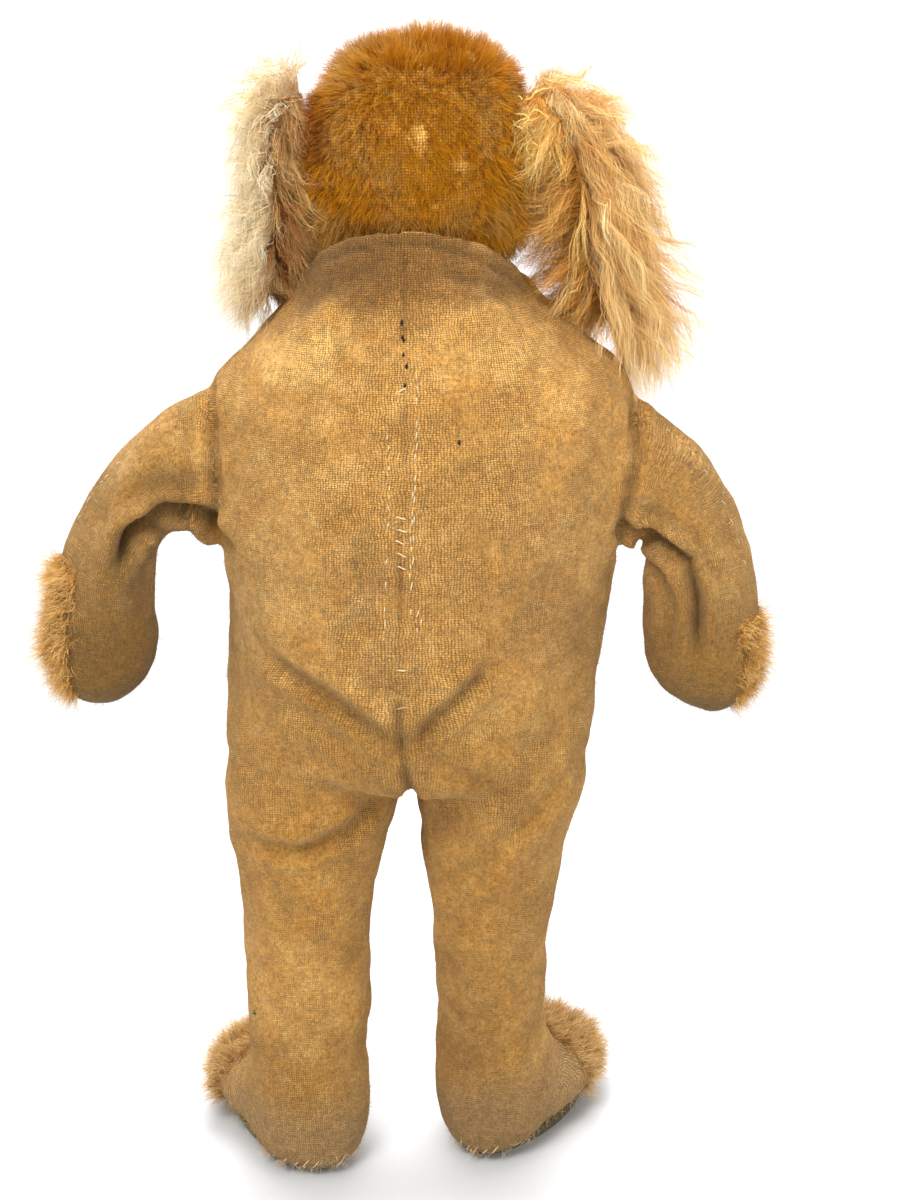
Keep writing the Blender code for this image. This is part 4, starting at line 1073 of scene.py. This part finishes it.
def ear(side):
    rng = np.random.default_rng(SEED + (3 if side == "left" else 4))
    sign = 1.0 if side == "left" else -1.0
    grid = ear_sheet(side)
    normals = grid_normals(grid)
    if normals[:, :, 0].mean() * sign < 0:
        normals = -normals
    cloth = plain_material("ear lining " + side, (0.40, 0.19, 0.045), 0.95, 0.5, 1500.0)
    flap = ear_flap("ear_flap_" + side, grid, cloth)
    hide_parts("ear_" + side + "_outer", "ear_" + side + "_lining")
    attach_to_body(flap, "ear_" + side)
    bare_top = {"left": 0.12, "right": 0.0}
    for band, hair, first, last, locks, each, short, long, out, back, down_by, fall, wave, gather in EAR_LOCKS[side]:
        far_down = rng.random(locks)
        if band in ("root", "top_wisps"):
            i = (DOWN - 1) * (far_down * 0.28)
        else:
            i = (DOWN - 1) * (far_down ** 0.85 * (1.0 - bare_top[side]) + bare_top[side])
        j = (ACROSS - 1) * rng.uniform(first, last, locks)
        ii, jj = i.astype(int).clip(0, DOWN - 2), j.astype(int).clip(0, ACROSS - 2)
        roots = grid[ii, jj] + (grid[ii + 1, jj] - grid[ii, jj]) * (i - ii)[:, None]
        roots = roots + (grid[ii, jj + 1] - grid[ii, jj]) * (j - jj)[:, None]
        facing = normals[ii, jj]
        down = unit(grid[ii + 1, jj] - grid[ii, jj])
        edge = unit(grid[ii, jj + 1] - grid[ii, jj])
        t = i / (DOWN - 1)
        start = unit(facing * (out + (out > 0) * 0.35 * blend_in(t, 0.65, 1.0))[:, None] + down * down_by + edge * back)
        length = (short + (long - short) * t) * (1 + 0.22 * rng.normal(size=locks).clip(-1.5, 1.5)) * MM
        length = np.minimum(length, np.maximum(0.006, roots[:, 2] - 0.182))
        pull = np.tile(np.array([0.0, 0.0, -fall]), (locks, 1))
        guides = curves(roots, start, length, 7, rng, pull, 0.8, rng.uniform(0.5, 1.2, locks) * wave * MM, 1.7, 0.34)
        lines, guide = children(guides, each, 1.5 * MM, gather, rng, 0.4, 0.8 * MM, facing)
        m = len(lines)
        lock = 0.50 + 0.34 * rng.normal(size=locks) + 0.20 * waves(roots, 0.012, 62)
        if side == "right":
            lock += 0.05 * blend_in(-roots[:, 2], -0.232, -0.205)
        tone = np.clip(lock[guide] + 0.10 * rng.normal(size=m), 0, 1)
        dark, mid, pale = EAR_COLOURS[hair]
        root = mix(dark, mid, 0.15 + 0.35 * tone)
        middle = mix(mix(dark, mid, 0.60), mix(mid, pale, 0.40), tone)
        tip = mix(mix(dark, mid, 0.90), pale, np.clip(0.1 + 1.0 * tone, 0, 1))
        if hair == "taupe":
            ruddy = 0.75 * blend_in(waves(lines[:, 0], 0.017, 65), 0.1, 0.8)
            root, middle = mix(root, RUST, ruddy), mix(middle, RUST * 2.2, ruddy)
        if hair == "amber":
            # painted shade: low amber locks on the right ear whose tips hang in towards the head are darkened
            under_shade = 0.55 * blend_in(-lines[:, 0, 2], -0.247, -0.232)
            under_shade = under_shade * blend_in(lines[:, -1, 0] - SHIFT[0], -0.036, -0.029)
            root, middle, tip = (mix(c, dark * k, under_shade) for c, k in ((root, 0.6), (middle, 0.8), (tip, 1.3)))
        shine = rng.uniform(0.78, 1.18, (m, 1))
        obj = ribbon_object("ear_" + side + "_" + band + "_locks", lines, rng.uniform(0.08, 0.15, m) * MM, root * shine,
                            tip * shine, rng, long_material, middle * shine)
        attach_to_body(obj, "ear_" + side)


ear("left")
ear("right")

# ---------------------------------------------------------------- paws

def patch_pile(name, pick, label, nodes, length, comb, colours, density, seed, per=4):
    """A mohair patch growing from part of the skin."""
    rng = np.random.default_rng(SEED + seed)
    roots, facing = scatter(skin_points, skin_normals, skin_faces, density, rng, pick.astype(float))
    lean = comb - (comb * facing).sum(1, keepdims=True) * facing
    start = unit(facing + lean * 0.5)
    size = length * (1 + 0.25 * waves(roots, 0.008, seed)) * MM
    guides = curves(roots, start, size, 4, rng, lean * 0.15, 1.0, 0.35 * MM, 1.3, 0.3)
    lines, _ = children(guides, per, 0.8 * MM, 0.1, rng, 0.5, 0.9 * MM, facing)
    lines = lines[lines[:, :, 2].min(1) > 0.4 * MM]
    m = len(lines)
    tone = np.clip(0.5 + 0.3 * rng.normal(size=m) + 0.3 * waves(lines[:, 0], 0.006, seed + 1), 0, 1)
    root = mix(colours[0], colours[1], 0.3 * tone)
    tip = mix(colours[1], colours[2], tone)
    shine = rng.uniform(0.8, 1.2, (m, 1))
    obj = ribbon_object(name, lines, rng.uniform(0.10, 0.17, m) * MM, root * shine, tip * shine, rng, pile_material)
    if nodes:
        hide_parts(*nodes)
    attach(obj, label)


q = (skin_points - SHIFT) / MM
facing_out = skin_normals[:, 0]
HAND_HAIR = np.array([(0.46, 0.210, 0.035), (0.70, 0.400, 0.110), (0.84, 0.600, 0.260)])
FOOT_HAIR = np.array([(0.30, 0.150, 0.040), (0.58, 0.330, 0.105), (0.86, 0.610, 0.290)])
FRAY = np.array([(0.45, 0.300, 0.130), (0.70, 0.520, 0.280), (0.88, 0.740, 0.480)])
strip_left = (q[:, 0] > 74) & (facing_out > 0.55) & (q[:, 2] < 150.5) & (q[:, 2] > 119)
strip_right = (q[:, 0] < -73) & (facing_out < -0.55) & (q[:, 2] < 138) & (q[:, 2] > 117)
patch_pile("hand_pile_left", strip_left, 1, ["hand_left_back"], 4.6,
           np.array([0.2, 0.5, -0.5]), HAND_HAIR, 2.2, 71, 5)
patch_pile("hand_pile_right", strip_right, 2, ["hand_right_back"], 3.2,
           np.array([-0.2, 0.5, -0.5]), HAND_HAIR, 2.2, 73, 5)
for side, label in (("left", 3), ("right", 4)):
    origin, spin = foot_frame(side)
    local = (q - origin) @ spin
    mine = np.sign(q[:, 0]) == np.sign(origin[0])
    top = (local[:, 1] < -19 + 0.3 * (q[:, 2] - 10)) & (q[:, 2] > 5.0) & (q[:, 2] < 30) & mine
    patch_pile("foot_pile_" + side, top, label, ["foot_" + side + "_top"], 3.8,
               np.array([0.35 * np.sign(origin[0]), -0.45, -0.15]), FOOT_HAIR, 1.3, 80 + label)
    seam = (q[:, 2] > 1.9) & (q[:, 2] < 4.6 + 1.6 * waves(skin_points, 0.006, 90)) & mine
    patch_pile("sole_fray_" + side, seam, label, [], 1.9, np.array([0.0, 0.3, -0.2]), FRAY, 0.45, 90 + label, 4)

# ---------------------------------------------------------------- soles

def sole(side):
    origin, spin = foot_frame(side)
    turn = np.linspace(0, 2 * math.pi, 72, endpoint=False)
    rims = []
    for inset, z in ((1.5, 0.0), (0.4, 0.1), (0.0, 0.9), (0.5, 1.7), (2.0, 1.9)):
        forward = -np.cos(turn)
        width = (13.8 - inset) * (0.90 - 0.10 * forward)
        rims.append(at(np.stack([width * np.sin(turn), -16.8 + (26.4 - inset) * forward, np.full(72, z)], -1)
                       @ spin.T + origin))
    shape = bmesh.new()
    tube(shape, np.array(rims))
    obj = placed("sole_" + side, shape, plain_material("sole felt " + side, (0.105, 0.085, 0.042), 0.95, 0.6, 1200.0))
    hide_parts("foot_" + side + "_sole", "foot_" + side + "_board")
    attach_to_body(obj, "leg_" + side)


sole("left")
sole("right")

# ---------------------------------------------------------------- threads

cotton = plain_material("cotton thread", (0.80, 0.61, 0.34), 0.85, 0.3, 2500.0)


def struck(spot, aim):
    """Point and normal of the skin where a needle pushed from spot along aim meets it."""
    hit, normal, _, _ = skin_tree.ray_cast(Vector(spot), Vector(aim))
    return (None, None) if hit is None else (np.array(hit), np.array(normal))


def on_back(x, z):
    spot = at((x, 0, z))
    return struck((spot[0], 0.12, spot[2]), (0, -1, 0))


def threads(name, paths, radius, material, around=6):
    """Thread laid along each path."""
    shape = bmesh.new()
    for path in paths:
        path = np.asarray(path)
        along = unit(np.gradient(path, axis=0))
        side = unit(np.cross(along, np.array([0.13, 0.31, 0.94])))
        size = radius * np.sin(np.linspace(0.35, math.pi - 0.35, len(path)))[:, None] ** 0.5
        tube(shape, oval_rims(path, side * size, np.cross(side, along) * size, around))
    obj = placed(name, shape, material)
    return obj


def stitch(a, b, sink=0.1, rise=0.28, steps=6):
    """A stitch from a to b, mm on the back, bowed off the cloth between its holes."""
    path = []
    for t in np.linspace(0, 1, steps):
        spot, normal = on_back(a[0] + (b[0] - a[0]) * t, a[1] + (b[1] - a[1]) * t)
        if spot is None:
            return None
        path.append(spot + normal * ((-sink + (rise + sink) * math.sin(math.pi * t) ** 0.7) * MM))
    return path


def sewn(line, count, share, rng, wobble=0.12, span=2, gap=3):
    """Running stitches along a line on the back, with some of them lost."""
    line = resample(line, count)
    made = []
    for k in range(0, count - gap, gap):
        if rng.random() < share:
            off = rng.normal(size=4) * wobble
            made.append(stitch(line[k] + off[:2] * [1, 0.3], line[k + span] + off[2:] * [1, 0.5]))
    return [path for path in made if path is not None]


def back_stitches():
    rng = np.random.default_rng(SEED + 9)
    paths = sewn([(3.2, 184), (3.0, 170), (3.7, 157), (4.3, 139)], 60, 0.55, rng)
    paths += sewn([(-3.1, 197), (-2.8, 183), (-2.4, 170), (-2.0, 157), (-1.3, 140)], 70, 0.75, rng)
    paths += sewn([(-2.0, 176), (-1.7, 163), (-1.2, 150)], 40, 0.4, rng)
    paths += sewn([(-3.4, 150), (-3.3, 142), (-3.0, 136)], 24, 0.5, rng, 0.3)
    for z in np.arange(124, 196, 2.8):
        if rng.random() < 0.45:
            x = 0.3 + rng.normal() * 0.25
            path = stitch((x - 1.0, z), (x + 1.1, z + rng.uniform(-1.4, 1.4)), 0.1, 0.22)
            if path is not None:
                paths.append(path)
    thread = threads("back_stitches", paths, 0.18 * MM, cotton)
    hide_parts("closing_thread")
    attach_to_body(thread, "torso")
    # dark stubs sunk into the needle holes: painted shade inside the holes
    holes = []
    for x, z in ((0.1, 208.4), (0.0, 205.2), (-0.3, 204.6), (-0.2, 201.6), (-0.9, 199.2), (-0.5, 195), (-12, 183)):
        spot, normal = on_back(x, z)
        if spot is not None:
            holes.append([spot - normal * 0.0002, spot + [0.0001, 0, -0.0006],
                          spot - normal * 0.0002 + [0, 0, -0.0012]])
    hole_shade = plain_material("stitch hole shade", (0.045, 0.022, 0.008), 1.0)
    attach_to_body(threads("stitch_hole_shade", holes, 0.42 * MM, hole_shade, 8), "torso")


def arm_stitches():
    """Small machine stitches beside the seam on top of each arm."""
    rng = np.random.default_rng(SEED + 10)
    for side, rows, label in (("left", ARM_LEFT, 1), ("right", ARM_RIGHT, 2)):
        rows = resample(rows, 60)
        inward = unit(rows[:, 2:4] - rows[:, 0:2])
        top = rows[:, 0:2] + inward * 2.0
        paths = sewn(top[13:44], 72, 0.55, rng, 0.08)
        paths = [path for path in paths if path is not None]
        attach(threads("arm_stitches_" + side, paths, 0.09 * MM, cotton), label)


def sole_stitches():
    """Overcast stitches that hold each sole to its foot."""
    rng = np.random.default_rng(SEED + 11)
    for side in ("left", "right"):
        origin, spin = foot_frame(side)
        paths = []
        for turn in np.linspace(0, 2 * math.pi, 44, endpoint=False):
            if rng.random() < 0.25:
                continue
            path = []
            for step, z in enumerate(np.linspace(1.1, 4.8 + rng.uniform(-0.6, 0.8), 5)):
                a = turn + 0.035 * step
                forward = -math.cos(a)
                rim = np.array([13.9 * (0.90 - 0.10 * forward) * math.sin(a), -16.8 + 26.5 * forward, z])
                outward = unit(np.array([math.sin(a), -math.cos(a), 0.0])) @ spin.T
                spot, _ = struck(at(spin @ rim + origin) + outward * 0.02, -outward)
                if spot is not None and step:
                    path.append(spot + outward * (0.05 + 0.22 * math.sin(math.pi * step / 4)) * MM)
                else:
                    path.append(at(spin @ rim + origin) + outward * 0.25 * MM)
            if np.abs(np.diff(np.array(path), axis=0)).max() < 0.004:
                paths.append(path)
        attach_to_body(threads("sole_stitches_" + side, paths, 0.12 * MM, cotton), "leg_" + side)


def loose_threads():
    """Old yellow thread left where the right ear was sewn on, and odd ends caught in the cloth."""
    yellow = plain_material("yellow thread", (0.72, 0.50, 0.10), 0.8, 0.3, 2500.0)
    rng = np.random.default_rng(SEED + 12)
    paths = []
    for k in range(12):
        spot = np.array([-26.5 + rng.normal() * 0.9, 10.0 + rng.normal() * 3.0, 253.0 - 1.1 * k + rng.normal()])
        d = np.array([rng.normal() * 0.7 - 0.3, 0.9, rng.normal() * 0.8 + 0.2])
        path = [spot.copy()]
        for _ in range(7):
            d = d / np.linalg.norm(d) + rng.normal(size=3) * 0.55
            spot = spot + d / np.linalg.norm(d) * 1.0
            path.append(spot.copy())
        paths.append(at(resample(path, 14)))
    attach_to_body(threads("yellow_threads", paths, 0.20 * MM, yellow), "head")
    red = plain_material("red lint", (0.55, 0.06, 0.04), 0.9)
    dark = plain_material("dark lint", (0.02, 0.018, 0.016), 0.9)
    green = plain_material("green lint", (0.07, 0.15, 0.06), 0.9)
    for name, material, spot, label in (("red_lint", red, (77.4, 1.0, 146.6), 1),
                                        ("dark_lint", dark, (-2.4, 6.0, 96.4), 4),
                                        ("green_lint", green, (38.4, 5.0, 41.0), 3)):
        aim = at((0.35 * spot[0], 0, spot[2])) - at(spot)
        start = at(spot) - unit(aim) * 0.03 + np.array([0, 0.012, 0])
        hit, normal = struck(start, unit(at((0.5 * spot[0], 0, spot[2])) - start))
        if hit is None:
            hit, normal = at(spot), np.array([0, 1.0, 0])
        path = [hit - normal * 0.0001, hit + normal * 0.0004 + [0.0003, 0, 0.0004],
                hit + normal * 0.0003 + [0.0002, 0, 0.0012]]
        attach(threads(name, [path], 0.30 * MM, material), label)


back_stitches()
arm_stitches()
sole_stitches()
loose_threads()

# ---------------------------------------------------------------- face

def ball(name, centre, size, material):
    """A ball drawn to its three half sizes, in millimetres."""
    shape = bmesh.new()
    bmesh.ops.create_uvsphere(shape, u_segments=32, v_segments=20, radius=1.0,
                              matrix=Matrix.Translation(Vector(centre)) @ Matrix.Diagonal((*(np.array(size) * MM), 1.0)))
    return placed(name, shape, material)


def face():
    glass, _, shader = new_material("eye glass", 0.06)
    shader.inputs["Coat Weight"].default_value = 0.6
    shader.inputs["Base Color"].default_value = (0.020, 0.009, 0.005, 1)
    leather = plain_material("nose leather", (0.035, 0.022, 0.018), 0.45, 0.35, 700.0)
    for side, sign in (("left", 1), ("right", -1)):
        axis = unit(np.array([sign * 0.757, -0.454, 0.469]))
        eye = ball("glass_eye_" + side, at((NECK_X + sign * 14.2, -23.5, 246.0)) + axis * 0.0008, (3.4, 3.4, 3.4), glass)
        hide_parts("eye_" + side)
        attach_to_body(eye, "head")
    nose = ball("leather_nose", at((NECK_X, -56.0, 230.6)), (5.46, 3.22, 4.16), leather)
    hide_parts("nose")
    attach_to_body(nose, "head")
    tree = BVHTree.FromPolygons([Vector(p) for p in head_points], [tuple(f) for f in head_faces])
    floss = plain_material("mouth floss", (0.04, 0.022, 0.016), 0.6, 0.3, 2500.0)
    paths = []
    for line in ([(0, 227.6), (0, 226.4), (0, 225.2)], [(0, 225.2), (2.4, 224.2), (4.8, 225.2)],
                 [(0, 225.2), (-2.4, 224.2), (-4.8, 225.2)]):
        path = []
        for x, z in resample(line, 9):
            spot = at((NECK_X + x, 0, z))
            hit, normal, _, _ = tree.ray_cast(Vector((spot[0], -0.09, spot[2])), Vector((0, 1, 0)))
            if hit is not None:
                path.append(np.array(hit) + np.array(normal) * 0.0014)
        if len(path) > 3:
            paths.append(path)
    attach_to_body(threads("mouth_floss", paths, 0.5 * MM, floss), "head")


face()

# ---------------------------------------------------------------- stage

def flat(name, size, matrix, material):
    shape = bmesh.new()
    bmesh.ops.create_grid(shape, x_segments=1, y_segments=1, size=size, matrix=matrix)
    return placed(name, shape, material)


def stage():
    table_white, _, shader = new_material("white table", 0.7)
    shader.inputs["Base Color"].default_value = (0.66, 0.67, 0.68, 1)
    wall_white, _, shader = new_material("white wall", 0.9)
    shader.inputs["Base Color"].default_value = (0.95, 0.955, 0.96, 1)
    table = flat("table", 1.0, Matrix.Translation((0, 0.68, 0)), table_white)
    wall = flat("wall", 2.5, Matrix.Translation((0, -0.9, 0.6)) @ Matrix.Rotation(math.radians(90), 4, "X"), wall_white)


def light(name, spot, target, size, power, colour=(1, 1, 1)):
    lamp = bpy.data.lights.new(name, "AREA")
    lamp.shape = "DISK"
    lamp.size = size
    lamp.energy = power
    lamp.color = colour
    made = bpy.data.objects.new(name, lamp)
    made.location = spot
    made.rotation_euler = (Vector(target) - Vector(spot)).to_track_quat("-Z", "Y").to_euler()
    bpy.context.scene.collection.objects.link(made)


def studio():
    bpy.context.scene.view_settings.view_transform = "Standard"
    world = bpy.data.worlds.new("studio")
    bpy.context.scene.world = world
    world.use_nodes = True
    back = world.node_tree.nodes["Background"]
    back.inputs["Color"].default_value = (0.97, 0.985, 1.0, 1)
    back.inputs["Strength"].default_value = WORLD_LIGHT
    light("key", (0.30, 0.75, 1.00), (0, 0, 0.13), 0.5, KEY_POWER)
    light("fill", (-0.55, 0.9, 0.35), (0, 0, 0.13), 0.8, FILL_POWER)
    light("wall light", (0, -0.35, 1.3), (0, -0.9, 0.4), 1.2, WALL_POWER)
    camera = bpy.data.cameras.new("camera")
    camera.sensor_fit = "VERTICAL"
    camera.angle = 2 * math.atan(CAMERA_HALF_HEIGHT)
    holder = bpy.data.objects.new("camera", camera)
    target = Vector((CAMERA_TARGET[0] + SHIFT[0], SHIFT[1], CAMERA_TARGET[1]))
    holder.location = target + Vector((0, math.cos(CAMERA_TILT), math.sin(CAMERA_TILT))) * CAMERA_DISTANCE
    holder.rotation_euler = (target - holder.location).to_track_quat("-Z", "Y").to_euler()
    bpy.context.scene.collection.objects.link(holder)
    bpy.context.scene.camera = holder


stage()
studio()
